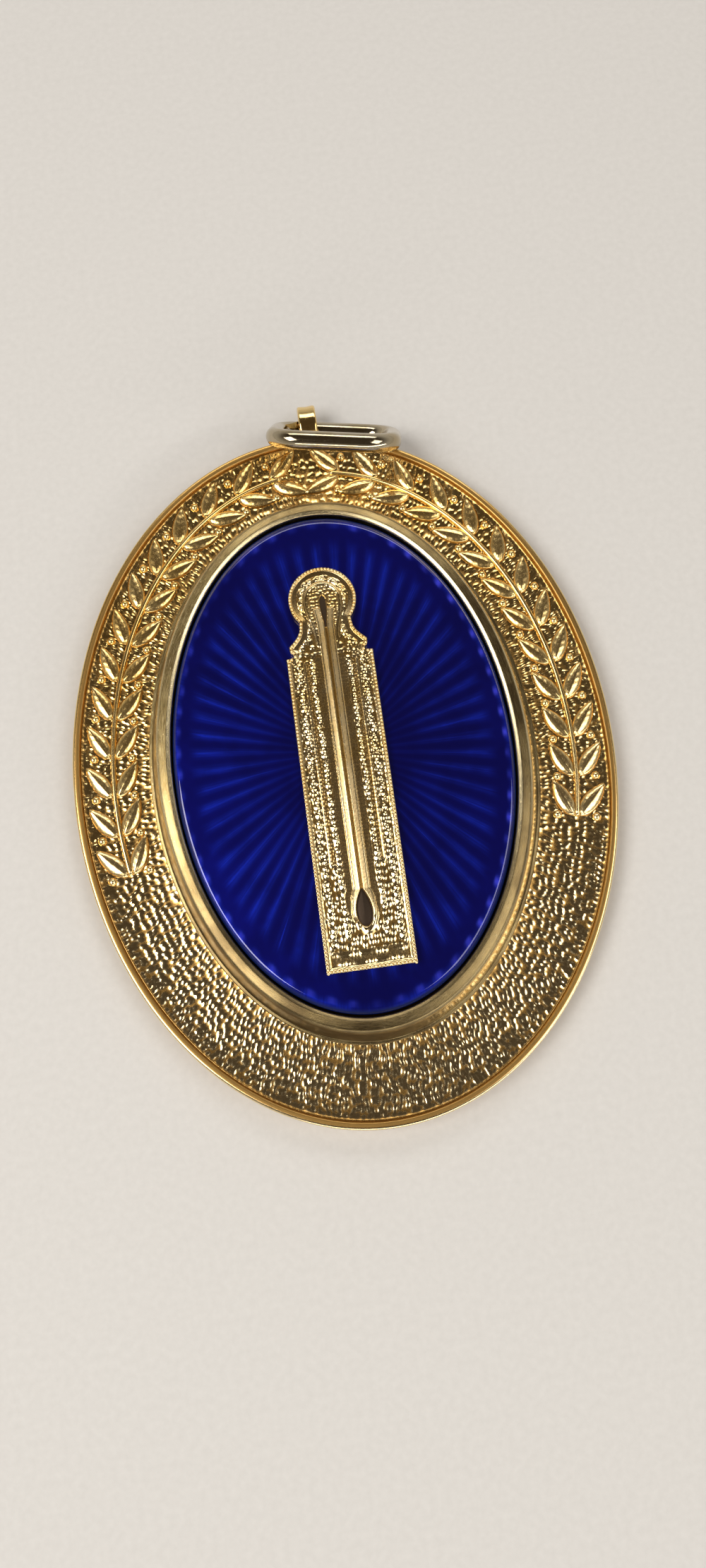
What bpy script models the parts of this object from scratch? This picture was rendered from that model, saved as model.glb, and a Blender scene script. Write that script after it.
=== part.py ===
"""Oval collar jewel, lying on its back.

X runs across the jewel, Y runs up to the suspension ring and +Z comes out of its face. The origin is the
middle of the flat back. Every length is in metres.
"""

import math

import bmesh
import bpy
from mathutils import Matrix, Vector

MM = 0.001

# The oval. Every ring of the jewel is an ellipse whose half length is its half width plus OVAL_STRETCH.
HALF_WIDTH = 31.0 * MM
HALF_LENGTH = 40.7 * MM
OVAL_STRETCH = HALF_LENGTH - HALF_WIDTH
ROUND_STEPS = 72
GAP = 0.15 * MM

# Border plate: insets are measured inwards from its outer edge, heights from its flat back.
EDGE_ROUND = 0.25 * MM
RIM_HEIGHT = 3.1 * MM
RIM_WIDTH = 0.85 * MM
FIELD_TABLE = (
    # inset, height
    (1.15 * MM, RIM_HEIGHT - 0.45 * MM),
    (2.6 * MM, RIM_HEIGHT - 0.64 * MM),
    (4.6 * MM, RIM_HEIGHT - 0.70 * MM),
    (6.6 * MM, RIM_HEIGHT - 0.62 * MM),
    (8.1 * MM, RIM_HEIGHT - 0.35 * MM),
    (8.75 * MM, RIM_HEIGHT - 0.05 * MM),
)
SEAT_INSET = 10.8 * MM
SEAT_HEIGHT = RIM_HEIGHT + 1.4 * MM

# Bezel: a ring that stands on the field's inner edge and hooks over the seat.
BEZEL_OUTER = HALF_WIDTH - 8.8 * MM
BEZEL_INNER = HALF_WIDTH - 11.85 * MM
BEZEL_BASE = FIELD_TABLE[-1][1] + GAP
BEZEL_LIP = RIM_HEIGHT + 2.9 * MM
BEZEL_CREST = RIM_HEIGHT + 3.2 * MM
BEZEL_CROWN = (
    # distance out from the inner edge, drop below the crest
    (2.15 * MM, 0.90 * MM),
    (1.90 * MM, 0.30 * MM),
    (1.50 * MM, 0.05 * MM),
    (0.95 * MM, 0.00 * MM),
    (0.35 * MM, 0.10 * MM),
)
FOOT_BEAD = 0.35 * MM

# Enamel plaque: a shallow dome with a rounded shoulder.
PLAQUE_HALF_WIDTH = BEZEL_INNER - GAP
PLAQUE_BASE = SEAT_HEIGHT + GAP
SHOULDER_HEIGHT = RIM_HEIGHT + 2.65 * MM
SHOULDER_ROUND = 0.5 * MM
DOME_RISE = 0.85 * MM
DOME_RINGS = (1.0, 0.8, 0.6, 0.35, 0.0)

# Laurel sprays: two branches that follow the middle of the border from the lower sides to the top.
SPRAY_INSET = 4.6 * MM
SPRAY_START = math.radians(-16)
SPRAY_TOP_GAP = 2.4 * MM
LEAF_PITCH = 4.6 * MM
LEAF_LENGTH = 4.6 * MM
LEAF_WIDTH = 1.8 * MM
LEAF_OUTLINE = (
    # share of the length, share of the width
    (0.00, 0.00),
    (0.30, 0.46),
    (0.72, 0.40),
    (1.00, 0.00),
    (0.72, -0.40),
    (0.30, -0.46),
)
LEAF_ROOT_HEIGHT = 0.7 * MM
LEAF_SPREAD = math.radians(33)
LEAF_EDGE_RISE = 0.22 * MM
LEAF_RIDGE_RISE = 0.5 * MM
LEAF_SIDE_OFFSET = 0.35 * MM
BERRY_RADIUS = 0.5 * MM
BERRY_OFFSET = 2.2 * MM
BERRY_RISE = 0.4 * MM

# Plumb rule: a flat board with a round head, bent to the dome.
RULE_HALF_WIDTH = 4.87 * MM
RULE_BOTTOM = -23.85 * MM
RULE_SHOULDER = 11.2 * MM
RULE_EAR = (
    # half width, rise above the shoulder
    (4.02 * MM, 0.10 * MM),
    (4.02 * MM, 0.45 * MM),
    (4.37 * MM, 0.80 * MM),
    (4.37 * MM, 1.40 * MM),
    (3.87 * MM, 1.90 * MM),
    (3.05 * MM, 3.00 * MM),
)
RULE_HEAD_CENTRE = 17.95 * MM
RULE_HEAD_RADIUS = 3.85 * MM
RULE_HEAD_STEPS = 7
RULE_NECK = 2.9 * MM
RULE_THICKNESS = 0.95 * MM
RULE_BORDER = 1.0 * MM
RULE_RECESS = 0.25 * MM
RULE_CUT_PITCH = 4.5 * MM
RAIL_TOP = 18.6 * MM
RAIL_OUTER = 1.35 * MM
RAIL_INNER = 0.6 * MM
RAIL_RISE = 0.15 * MM
CORD_HALF_WIDTH = 0.2 * MM
CORD_RISE = 0.2 * MM
HOLLOW_CENTRE = -17.2 * MM
HOLLOW_OUTER = 1.95 * MM
HOLLOW_INNER = 1.35 * MM
HOLLOW_STEPS = 8
BOB_TIP = -15.3 * MM
BOB_CENTRE = -18.3 * MM
BOB_RADIUS = 0.92 * MM
BOB_TAPER = 0.55
BOB_FLATNESS = 0.55

# Suspension eye: a strap loop across the top edge.
EYE_X = 1.2 * MM
EYE_WIDTH = 2.2 * MM
EYE_BAND = 0.72 * MM
EYE_HOLE_HALF_LENGTH = 1.9 * MM
EYE_HOLE_HALF_HEIGHT = 1.5 * MM
EYE_CENTRE = Vector((EYE_X, HALF_LENGTH + 1.75 * MM, EYE_HOLE_HALF_HEIGHT + EYE_BAND))
EYE_STEPS = 24

# Suspension ring: its back strand lies along the rim's tangent, and it leans over the face.
RING_WIRE = 1.1 * MM
RING_HALF_LENGTH = 8.0 * MM
RING_WIDTH = 11.6 * MM
RING_CORNER = 3.0 * MM
RING_CORNER_STEPS = 6
RING_TOUCH_X = 4.4 * MM
RING_CLEARANCE = 1.16 * MM
RING_AXIS_HEIGHT = EYE_CENTRE.z - 0.12 * MM
RING_LEAN = math.radians(53)
SHARP_ANGLE = math.radians(40)
SAME_POINT = 0.001 * MM

COLOURS = {
    # name: colour, metallic, roughness
    "old_gilt": ((0.80, 0.50, 0.14, 1.0), 1.0, 0.25),
    "satin_gold": ((0.72, 0.58, 0.30, 1.0), 1.0, 0.45),
    "cobalt_enamel": ((0.01, 0.02, 0.30, 1.0), 0.0, 0.08),
    "cast_gold": ((0.78, 0.56, 0.22, 1.0), 1.0, 0.35),
    "ring_gold": ((0.80, 0.68, 0.42, 1.0), 1.0, 0.15),
}


def clear_scene():
    for item in list(bpy.data.objects):
        bpy.data.objects.remove(item, do_unlink=True)


def material(name):
    colour, metallic, roughness = COLOURS[name]
    made = bpy.data.materials.get(name)
    if made is None:
        made = bpy.data.materials.new(name)
        made.use_nodes = True
        shader = made.node_tree.nodes["Principled BSDF"]
        shader.inputs["Base Color"].default_value = colour
        shader.inputs["Metallic"].default_value = metallic
        shader.inputs["Roughness"].default_value = roughness
        made.diffuse_color = colour
    return made


def finish_object(name, bm, material_name, guide=False):
    """Turns a bmesh into a named object. A guide only cuts or joins, so it is hidden."""
    bmesh.ops.remove_doubles(bm, verts=bm.verts[:], dist=SAME_POINT)
    bmesh.ops.triangulate(bm, faces=bm.faces[:])
    bmesh.ops.recalc_face_normals(bm, faces=bm.faces[:])
    mesh = bpy.data.meshes.new(name)
    bm.to_mesh(mesh)
    bm.free()
    mesh.materials.append(material(material_name))
    mesh.shade_smooth()
    mesh.set_sharp_from_angle(angle=SHARP_ANGLE)
    made = bpy.data.objects.new(name, mesh)
    bpy.context.scene.collection.objects.link(made)
    if guide:
        made.hide_render = True
        made.display_type = "WIRE"
    return made


def union(target, guide):
    join = target.modifiers.new(guide.name, "BOOLEAN")
    join.operation = "UNION"
    join.solver = "EXACT"
    join.use_self = True
    join.object = guide


def stretch_to_oval(bm):
    """Lengthens a round shape into the oval: by OVAL_STRETCH outside the bezel and in proportion within it."""
    for vert in bm.verts:
        radius = math.hypot(vert.co.x, vert.co.y)
        if radius > 0:
            reach = OVAL_STRETCH * min(1.0, radius / BEZEL_INNER)
            vert.co.y += reach * vert.co.y / radius


def spin_oval(profile, closed):
    """Turns a profile of (radius, height) about Z and stretches it to the oval."""
    bm = bmesh.new()
    verts = [bm.verts.new((radius, 0, height)) for radius, height in profile]
    pairs = list(zip(verts, verts[1:]))
    if closed:
        pairs.append((verts[-1], verts[0]))
    edges = [bm.edges.new(pair) for pair in pairs]
    bmesh.ops.spin(
        bm,
        geom=verts + edges,
        cent=(0, 0, 0),
        axis=(0, 0, 1),
        angle=2 * math.pi,
        steps=ROUND_STEPS,
        use_merge=True,
    )
    bmesh.ops.remove_doubles(bm, verts=bm.verts[:], dist=SAME_POINT)
    stretch_to_oval(bm)
    return bm


def table_value(table, position):
    """Reads a height from a table of (position, height) rows, straight between the rows."""
    for (low, low_height), (high, high_height) in zip(table, table[1:]):
        if position <= high:
            share = max(0.0, (position - low) / (high - low))
            return low_height + share * (high_height - low_height)
    return table[-1][1]


def dome_height(x, y):
    """Height of the plaque's face above the back."""
    half_length = PLAQUE_HALF_WIDTH + OVAL_STRETCH
    spread = (x / PLAQUE_HALF_WIDTH) ** 2 + (y / half_length) ** 2
    return SHOULDER_HEIGHT + SHOULDER_ROUND / 2 + DOME_RISE * (1 - spread)


# --- border plate -------------------------------------------------------------------------------------------


def make_plate():
    rim_inner = HALF_WIDTH - RIM_WIDTH
    seat = HALF_WIDTH - SEAT_INSET
    profile = [
        (0, 0),
        (HALF_WIDTH - EDGE_ROUND, 0),
        (HALF_WIDTH, EDGE_ROUND),
        (HALF_WIDTH, RIM_HEIGHT - EDGE_ROUND),
        (HALF_WIDTH - EDGE_ROUND, RIM_HEIGHT),
        (rim_inner, RIM_HEIGHT),
    ]
    profile += [(HALF_WIDTH - inset, height) for inset, height in FIELD_TABLE]
    profile += [
        (seat, FIELD_TABLE[-1][1]),
        (seat, SEAT_HEIGHT),
        (0, SEAT_HEIGHT),
    ]
    plate = finish_object("border_plate", spin_oval(profile, closed=False), "old_gilt")
    union(plate, make_eye())
    union(plate, make_sprays())
    return plate


def make_eye():
    """A strap bent into an upright oval loop, turned about X. Its inner end is sunk in the plate's edge."""
    bm = bmesh.new()
    inner = EYE_HOLE_HALF_HEIGHT
    outer = EYE_HOLE_HALF_HEIGHT + EYE_BAND
    chamfer = EYE_BAND / 4
    section = [
        (-EYE_WIDTH / 2, inner),
        (EYE_WIDTH / 2, inner),
        (EYE_WIDTH / 2, outer - chamfer),
        (EYE_WIDTH / 2 - chamfer, outer),
        (chamfer - EYE_WIDTH / 2, outer),
        (-EYE_WIDTH / 2, outer - chamfer),
    ]
    verts = [bm.verts.new((across, radius, 0)) for across, radius in section]
    edges = [bm.edges.new(pair) for pair in zip(verts, verts[1:] + verts[:1])]
    bmesh.ops.spin(
        bm,
        geom=verts + edges,
        cent=(0, 0, 0),
        axis=(1, 0, 0),
        angle=2 * math.pi,
        steps=EYE_STEPS,
        use_merge=True,
    )
    lengthen = EYE_HOLE_HALF_LENGTH - EYE_HOLE_HALF_HEIGHT
    for vert in bm.verts:
        vert.co.y += lengthen * vert.co.y / math.hypot(vert.co.y, vert.co.z)
    bmesh.ops.translate(bm, verts=bm.verts[:], vec=EYE_CENTRE)
    return finish_object("eye_guide", bm, "old_gilt", guide=True)


def spray_points():
    """Points one LEAF_PITCH apart along the right-hand branch, each with its direction of growth."""
    half_width = HALF_WIDTH - SPRAY_INSET
    half_length = HALF_LENGTH - SPRAY_INSET
    points = []
    walked = 0.0
    step = math.radians(0.05)
    angle = SPRAY_START
    place = Vector((half_width * math.cos(angle), half_length * math.sin(angle)))
    while place.x > SPRAY_TOP_GAP:
        if walked >= len(points) * LEAF_PITCH:
            growth = Vector((-half_width * math.sin(angle), half_length * math.cos(angle)))
            points.append((place.copy(), growth.normalized()))
        angle += step
        following = Vector((half_width * math.cos(angle), half_length * math.sin(angle)))
        walked += (following - place).length
        place = following
    return points


def add_leaf(bm, root, growth, side):
    """A ridged leaf: a flat outline raised above the field, with a crease from its stalk to its tip."""
    outward = Vector((growth.y, -growth.x))
    turn = Matrix.Rotation(-side * LEAF_SPREAD, 2)
    along = turn @ growth
    across = Vector((along.y, -along.x))
    start = root + outward * side * LEAF_SIDE_OFFSET

    def vertex(share_along, share_across, rise):
        flat = start + along * share_along * LEAF_LENGTH + across * share_across * LEAF_WIDTH
        if rise is None:
            return bm.verts.new((flat.x, flat.y, LEAF_ROOT_HEIGHT))
        inset = SPRAY_INSET - (flat - root).dot(outward)
        return bm.verts.new((flat.x, flat.y, table_value(FIELD_TABLE, inset) + rise))

    foot = [vertex(length, width, None) for length, width in LEAF_OUTLINE]
    edge = [vertex(length, width, LEAF_EDGE_RISE) for length, width in LEAF_OUTLINE]
    crease = [vertex(LEAF_OUTLINE[row][0], 0, LEAF_RIDGE_RISE) for row in (1, 2)]
    count = len(LEAF_OUTLINE)
    bm.faces.new(foot)
    for index in range(count):
        after = (index + 1) % count
        bm.faces.new((foot[index], foot[after], edge[after], edge[index]))
    bm.faces.new((edge[0], edge[1], crease[0]))
    bm.faces.new((edge[5], edge[0], crease[0]))
    bm.faces.new((edge[1], edge[2], crease[1], crease[0]))
    bm.faces.new((edge[4], edge[5], crease[0], crease[1]))
    bm.faces.new((edge[2], edge[3], crease[1]))
    bm.faces.new((edge[3], edge[4], crease[1]))


def add_berry(bm, root, growth, side):
    """A small round berry beside the spray's stalk, sunk to half its height."""
    outward = Vector((growth.y, -growth.x))
    place = root + outward * side * BERRY_OFFSET
    floor = table_value(FIELD_TABLE, SPRAY_INSET - side * BERRY_OFFSET)
    middle = Matrix.Translation((place.x, place.y, floor))
    made = bmesh.ops.create_icosphere(bm, subdivisions=1, radius=BERRY_RADIUS, matrix=middle)
    for vert in made["verts"]:
        vert.co.z = floor + (vert.co.z - floor) * BERRY_RISE / BERRY_RADIUS


def make_sprays():
    """Both laurel branches as separate closed leaves and berries, joined to the plate by one union."""
    bm = bmesh.new()
    for root, growth in spray_points():
        for side in (-1, 1):
            add_leaf(bm, root, growth, side)
            add_berry(bm, root, growth, side)
    right_half = bm.verts[:] + bm.edges[:] + bm.faces[:]
    bmesh.ops.mirror(bm, geom=right_half, axis="X", merge_dist=-1)
    return finish_object("spray_guide", bm, "old_gilt", guide=True)


# --- bezel and plaque ---------------------------------------------------------------------------------------


def make_bezel():
    outer = BEZEL_OUTER
    inner = BEZEL_INNER
    seat_wall = HALF_WIDTH - SEAT_INSET + GAP
    profile = [
        (outer, BEZEL_BASE),
        (outer, BEZEL_BASE + FOOT_BEAD),
        (outer - FOOT_BEAD, BEZEL_BASE + FOOT_BEAD),
    ]
    profile += [(inner + distance, BEZEL_CREST - drop) for distance, drop in BEZEL_CROWN]
    profile += [
        (inner, BEZEL_LIP),
        (inner, PLAQUE_BASE),
        (seat_wall, PLAQUE_BASE),
        (seat_wall, BEZEL_BASE),
    ]
    return finish_object("bezel_ring", spin_oval(profile, closed=True), "satin_gold")


def make_plaque():
    rim = PLAQUE_HALF_WIDTH
    shoulder = rim - SHOULDER_ROUND
    profile = [
        (0, PLAQUE_BASE),
        (rim, PLAQUE_BASE),
        (rim, SHOULDER_HEIGHT - SHOULDER_ROUND / 2),
        (rim - SHOULDER_ROUND / 3, SHOULDER_HEIGHT),
    ]
    for share in DOME_RINGS:
        radius = shoulder * share
        profile.append((radius, dome_height(radius, 0)))
    return finish_object("enamel_plaque", spin_oval(profile, closed=False), "cobalt_enamel")


# --- plumb rule ---------------------------------------------------------------------------------------------


def rule_outline():
    """The board's outline, anticlockwise from the bottom right corner."""
    right = [(RULE_HALF_WIDTH, RULE_BOTTOM), (RULE_HALF_WIDTH, RULE_SHOULDER)]
    right += [(half_width, RULE_SHOULDER + rise) for half_width, rise in RULE_EAR]
    neck_angle = -math.acos(RULE_NECK / RULE_HEAD_RADIUS)
    for index in range(RULE_HEAD_STEPS):
        angle = neck_angle + (math.pi / 2 - neck_angle) * index / RULE_HEAD_STEPS
        x = RULE_HEAD_RADIUS * math.cos(angle)
        y = RULE_HEAD_CENTRE + RULE_HEAD_RADIUS * math.sin(angle)
        right.append((x, y))
    top = (0, RULE_HEAD_CENTRE + RULE_HEAD_RADIUS)
    left = [(-x, y) for x, y in reversed(right)]
    return right + [top] + left


def keyhole_outline(half_width, hollow_radius, top):
    """A slot with a round end, anticlockwise, for the rails and the hollow round the bob."""
    shoulder = math.asin(half_width / hollow_radius)
    points = []
    for index in range(HOLLOW_STEPS + 1):
        angle = -math.pi / 2 + (math.pi - shoulder) * index / HOLLOW_STEPS
        x = hollow_radius * math.cos(angle)
        y = HOLLOW_CENTRE + hollow_radius * math.sin(angle)
        points.append((x, y))
    points.append((half_width, top))
    left = [(-x, y) for x, y in reversed(points[1:])]
    return points + left


def cut_across(bm):
    """Cuts a flat shape into short lengths, so that it can follow the dome."""
    cuts = math.ceil((RULE_HEAD_CENTRE + RULE_HEAD_RADIUS - RULE_BOTTOM) / RULE_CUT_PITCH)
    for index in range(1, cuts):
        height = RULE_BOTTOM + index * RULE_CUT_PITCH
        geom = bm.verts[:] + bm.edges[:] + bm.faces[:]
        bmesh.ops.bisect_plane(bm, geom=geom, plane_co=(0, height, 0), plane_no=(0, 1, 0))
    geom = bm.verts[:] + bm.edges[:] + bm.faces[:]
    bmesh.ops.bisect_plane(bm, geom=geom, plane_co=(0, 0, 0), plane_no=(1, 0, 0))


def lay_on_dome(bm):
    for vert in bm.verts:
        vert.co.z += dome_height(vert.co.x, vert.co.y) + GAP


def extrude_outline(outline, low, high):
    """A flat slab between two heights. Returns the bmesh and its top face."""
    bm = bmesh.new()
    base = bm.faces.new([bm.verts.new((x, y, low)) for x, y in outline])
    grown = bmesh.ops.extrude_face_region(bm, geom=[base])["geom"]
    top_verts = [item for item in grown if isinstance(item, bmesh.types.BMVert)]
    top_face = [item for item in grown if isinstance(item, bmesh.types.BMFace)][0]
    bmesh.ops.translate(bm, verts=top_verts, vec=(0, 0, high - low))
    return bm, top_face


def make_rule():
    """The board, its face sunk inside a raised border, with the rails, line and bob joined on."""
    bm, face = extrude_outline(rule_outline(), 0, RULE_THICKNESS)
    bmesh.ops.inset_region(bm, faces=[face], thickness=RULE_BORDER, use_even_offset=True)
    bmesh.ops.translate(bm, verts=face.verts[:], vec=(0, 0, -RULE_RECESS))
    cut_across(bm)
    lay_on_dome(bm)
    board = finish_object("plumb_rule", bm, "cast_gold")
    union(board, make_rails())
    union(board, make_cord())
    union(board, make_bob())
    return board


def make_rails():
    """The two rails of the plumb line's channel, which open round the bob."""
    outer = keyhole_outline(RAIL_OUTER, HOLLOW_OUTER, RAIL_TOP)
    inner = keyhole_outline(RAIL_INNER, HOLLOW_INNER, RAIL_TOP - RAIL_OUTER + RAIL_INNER)
    bm = bmesh.new()
    base = RULE_THICKNESS / 2
    loops = []
    for outline in (outer, inner):
        verts = [bm.verts.new((x, y, base)) for x, y in outline]
        loops += [bm.edges.new(pair) for pair in zip(verts, verts[1:] + verts[:1])]
    strip = bmesh.ops.bridge_loops(bm, edges=loops)["faces"]
    grown = bmesh.ops.extrude_face_region(bm, geom=strip)["geom"]
    top_verts = [item for item in grown if isinstance(item, bmesh.types.BMVert)]
    top = RULE_THICKNESS - RULE_RECESS + RAIL_RISE
    bmesh.ops.translate(bm, verts=top_verts, vec=(0, 0, top - base))
    cut_across(bm)
    lay_on_dome(bm)
    return finish_object("rail_guide", bm, "cast_gold", guide=True)


def make_cord():
    outline = [
        (-CORD_HALF_WIDTH, BOB_TIP - BOB_RADIUS),
        (CORD_HALF_WIDTH, BOB_TIP - BOB_RADIUS),
        (CORD_HALF_WIDTH, RAIL_TOP - RAIL_OUTER / 2),
        (-CORD_HALF_WIDTH, RAIL_TOP - RAIL_OUTER / 2),
    ]
    bm, _ = extrude_outline(outline, RULE_THICKNESS / 2, RULE_THICKNESS - RULE_RECESS + CORD_RISE)
    cut_across(bm)
    lay_on_dome(bm)
    return finish_object("cord_guide", bm, "cast_gold", guide=True)


def make_bob():
    """A teardrop: a ball whose upper half is drawn out to the tip."""
    bm = bmesh.new()
    bmesh.ops.create_uvsphere(bm, u_segments=8, v_segments=8, radius=BOB_RADIUS)
    bmesh.ops.rotate(bm, verts=bm.verts[:], matrix=Matrix.Rotation(-math.pi / 2, 3, "X"))
    draw_out = (BOB_TIP - BOB_CENTRE) / BOB_RADIUS
    for vert in bm.verts:
        if vert.co.y > 0:
            share = vert.co.y / BOB_RADIUS
            vert.co.x *= 1 - BOB_TAPER * share
            vert.co.z *= 1 - BOB_TAPER * share
            vert.co.y *= draw_out
        vert.co.z *= BOB_FLATNESS
        vert.co.y += BOB_CENTRE
        vert.co.z += RULE_THICKNESS - RULE_RECESS
    lay_on_dome(bm)
    return finish_object("bob_guide", bm, "cast_gold", guide=True)


# --- suspension ring ----------------------------------------------------------------------------------------


def ring_path():
    """The wire's middle line: a rectangle with round corners whose first side lies along local X."""
    half = RING_HALF_LENGTH - RING_WIRE
    width = RING_WIDTH - 2 * RING_WIRE
    corners = [
        (half - RING_CORNER, RING_CORNER, -90),
        (half - RING_CORNER, width - RING_CORNER, 0),
        (RING_CORNER - half, width - RING_CORNER, 90),
        (RING_CORNER - half, RING_CORNER, 180),
    ]
    points = []
    for x, y, first in corners:
        for index in range(RING_CORNER_STEPS + 1):
            angle = math.radians(first + 90 * index / RING_CORNER_STEPS)
            points.append((x + RING_CORNER * math.cos(angle), y + RING_CORNER * math.sin(angle)))
    return points


def hinge_place():
    """Where the back strand's middle lies, and the turn that lays local X along the rim's tangent there."""
    rise = math.sqrt(1 - (RING_TOUCH_X / HALF_WIDTH) ** 2)
    slope = -HALF_LENGTH * RING_TOUCH_X / (HALF_WIDTH**2 * rise)
    yaw = math.atan(slope)
    outward = Vector((-math.sin(yaw), math.cos(yaw), 0))
    touch = Vector((RING_TOUCH_X, HALF_LENGTH * rise, RING_AXIS_HEIGHT))
    return touch + outward * RING_CLEARANCE, yaw


def make_ring():
    curve = bpy.data.curves.new("suspension_ring", "CURVE")
    curve.dimensions = "3D"
    curve.bevel_depth = RING_WIRE
    curve.bevel_resolution = 4
    path = ring_path()
    spline = curve.splines.new("POLY")
    spline.points.add(len(path) - 1)
    for point, (x, y) in zip(spline.points, path):
        point.co = (x, y, 0, 1)
    spline.use_cyclic_u = True
    curve.materials.append(material("ring_gold"))
    ring = bpy.data.objects.new("suspension_ring", curve)
    bpy.context.scene.collection.objects.link(ring)
    place, yaw = hinge_place()
    ring.location = place
    ring.rotation_euler = (math.pi - RING_LEAN, 0, yaw)
    return ring


clear_scene()
make_plate()
make_bezel()
make_plaque()
make_rule()
make_ring()
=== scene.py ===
# %% [markdown]
# # An oval collar jewel: gilt border, satin bezel, cobalt enamel and a cast plumb rule
#
# A jewel like this hangs from a collar. It is put together by a maker from a few metal parts: a struck and
# gilt plate with a pebbled border, a bezel that holds the enamel, a small cast rule soldered to the
# enamel's face, and a wire ring that runs through an eye at the top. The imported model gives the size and
# the place of each part. This lesson dresses those parts, one at a time, with finer meshes and with
# finishes made from nodes.

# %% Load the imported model
import math

import bmesh
import bpy
import numpy as np
from mathutils import Matrix, Vector


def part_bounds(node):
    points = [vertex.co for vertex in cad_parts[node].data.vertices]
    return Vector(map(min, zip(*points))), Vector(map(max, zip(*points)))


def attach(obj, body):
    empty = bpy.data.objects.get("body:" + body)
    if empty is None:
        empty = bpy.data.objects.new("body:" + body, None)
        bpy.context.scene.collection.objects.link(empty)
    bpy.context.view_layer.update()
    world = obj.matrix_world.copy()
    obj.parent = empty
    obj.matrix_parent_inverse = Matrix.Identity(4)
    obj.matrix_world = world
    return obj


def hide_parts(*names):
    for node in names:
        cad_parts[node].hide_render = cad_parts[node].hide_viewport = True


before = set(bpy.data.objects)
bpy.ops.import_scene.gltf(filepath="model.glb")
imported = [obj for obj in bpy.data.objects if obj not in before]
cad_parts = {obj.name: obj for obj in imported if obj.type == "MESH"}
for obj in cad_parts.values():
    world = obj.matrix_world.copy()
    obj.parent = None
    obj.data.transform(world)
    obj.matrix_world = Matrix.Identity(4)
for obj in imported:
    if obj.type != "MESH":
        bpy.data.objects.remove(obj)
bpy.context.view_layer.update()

# %% [markdown]
# ## Measures
#
# A jeweller works in millimetres, so every length below is in millimetres, and a piece is brought to metres
# once, when it is finished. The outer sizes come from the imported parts, so that the fine pieces can't drift
# from them.

# %% Read the outer sizes of the parts
MM = 0.001


def part_box(node):
    """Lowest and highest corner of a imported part, in millimetres."""
    low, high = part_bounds(node)
    return low / MM, high / MM


plate_low, plate_high = part_box("border_plate")
HALF_WIDTH = plate_high.x
HALF_LENGTH = -plate_low.y
STRETCH = HALF_LENGTH - HALF_WIDTH
BEZEL_OUTER = part_box("bezel_ring")[1].x
BEZEL_CREST = part_box("bezel_ring")[1].z
PLAQUE_HALF_WIDTH = part_box("enamel_plaque")[1].x
PLAQUE_BASE = part_box("enamel_plaque")[0].z
GAP = 0.15
BEZEL_INNER = PLAQUE_HALF_WIDTH + GAP
print(f"plate {2 * HALF_WIDTH:.2f} x {2 * HALF_LENGTH:.2f} mm, enamel {2 * PLAQUE_HALF_WIDTH:.2f} mm wide")

# %% [markdown]
# ## The oval
#
# Every ring of the jewel is the same idea: a round shape, turned on a lathe, then lengthened. Outside the
# bezel all rings grow by the same length, so that the border keeps one width all round. Inside it they grow
# in proportion. One helper does this for points, and the same helper is used for every turned piece.

# %% Lengthen a round shape into the oval
ANGLE_ROUNDS = 8


def oval_points(points):
    """Moves an array of points (x, y, z) from the round shape to the oval."""
    radius = np.hypot(points[:, 0], points[:, 1])
    reach = STRETCH * np.minimum(1.0, radius / BEZEL_INNER)
    points[:, 1] += reach * points[:, 1] / np.maximum(radius, 1e-9)
    return points


def inset_of(x, y):
    """Distance in from the plate's edge of a point on the border or the bezel, found in a few rounds."""
    angle = np.arctan2(y, x)
    for _ in range(ANGLE_ROUNDS):
        angle = np.arctan2(y - STRETCH * np.sin(angle), x)
    return HALF_WIDTH - np.hypot(x, y - STRETCH * np.sin(angle))


def read_points(bm):
    return np.array([vert.co[:] for vert in bm.verts])


def write_points(bm, points):
    for vert, place in zip(bm.verts, points.tolist()):
        vert.co = place


print("a point at the side moves", oval_points(np.array([[HALF_WIDTH, 0.0, 0.0]]))[0].round(3))
print("a point at the top moves to", oval_points(np.array([[0.0, HALF_WIDTH, 0.0]]))[0].round(3))

# %% [markdown]
# ## Finishing a piece
#
# Each piece is a bmesh until it is done. Then it becomes an object that stands at the origin with its place
# in its mesh, takes its material, is tied to the body that carries it, and hides the imported part that it
# stands for.

# %% Turn a bmesh into a finished piece
SAME_POINT = 0.0005
CLOSE_POINT = 0.01


def mark_points(bm, name, values):
    """Writes one number on every point, for the finish to read."""
    layer = bm.verts.layers.float.new(name)
    for vert, value in zip(bm.verts, np.broadcast_to(values, len(bm.verts)).tolist()):
        vert[layer] = value


def finish_piece(bm, name, finish, body, slot, *nodes, merge=True):
    """Closes seams, points the faces outwards, brings the piece to metres and ties it to the frame."""
    if merge:
        bmesh.ops.remove_doubles(bm, verts=bm.verts[:], dist=SAME_POINT)
    bmesh.ops.recalc_face_normals(bm, faces=bm.faces[:])
    bmesh.ops.scale(bm, vec=(MM, MM, MM), verts=bm.verts[:])
    mesh = bpy.data.meshes.new(name)
    bm.to_mesh(mesh)
    open_edges = sum(1 for edge in bm.edges if edge.is_boundary)
    triangles = sum(len(face.verts) - 2 for face in bm.faces)
    bm.free()
    mesh.shade_smooth()
    mesh.materials.append(finish)
    piece = bpy.data.objects.new(name, mesh)
    bpy.context.scene.collection.objects.link(piece)
    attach(piece, body)
    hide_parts(*nodes)
    print(f"{name}: {triangles} triangles, {open_edges} open edges")


# %% [markdown]
# ## Turned shapes
#
# A bezel is turned: its cross-section is drawn once and carried round. Blender's spin does exactly this.
# The cross-section starts as a few points and gets its curves from rounded corners. After the spin the
# round shape is lengthened into the oval, and each face gets a place on a UV map: U runs round the oval by
# true length, V runs across it, so that scratches and rays can follow the turn.


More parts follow.
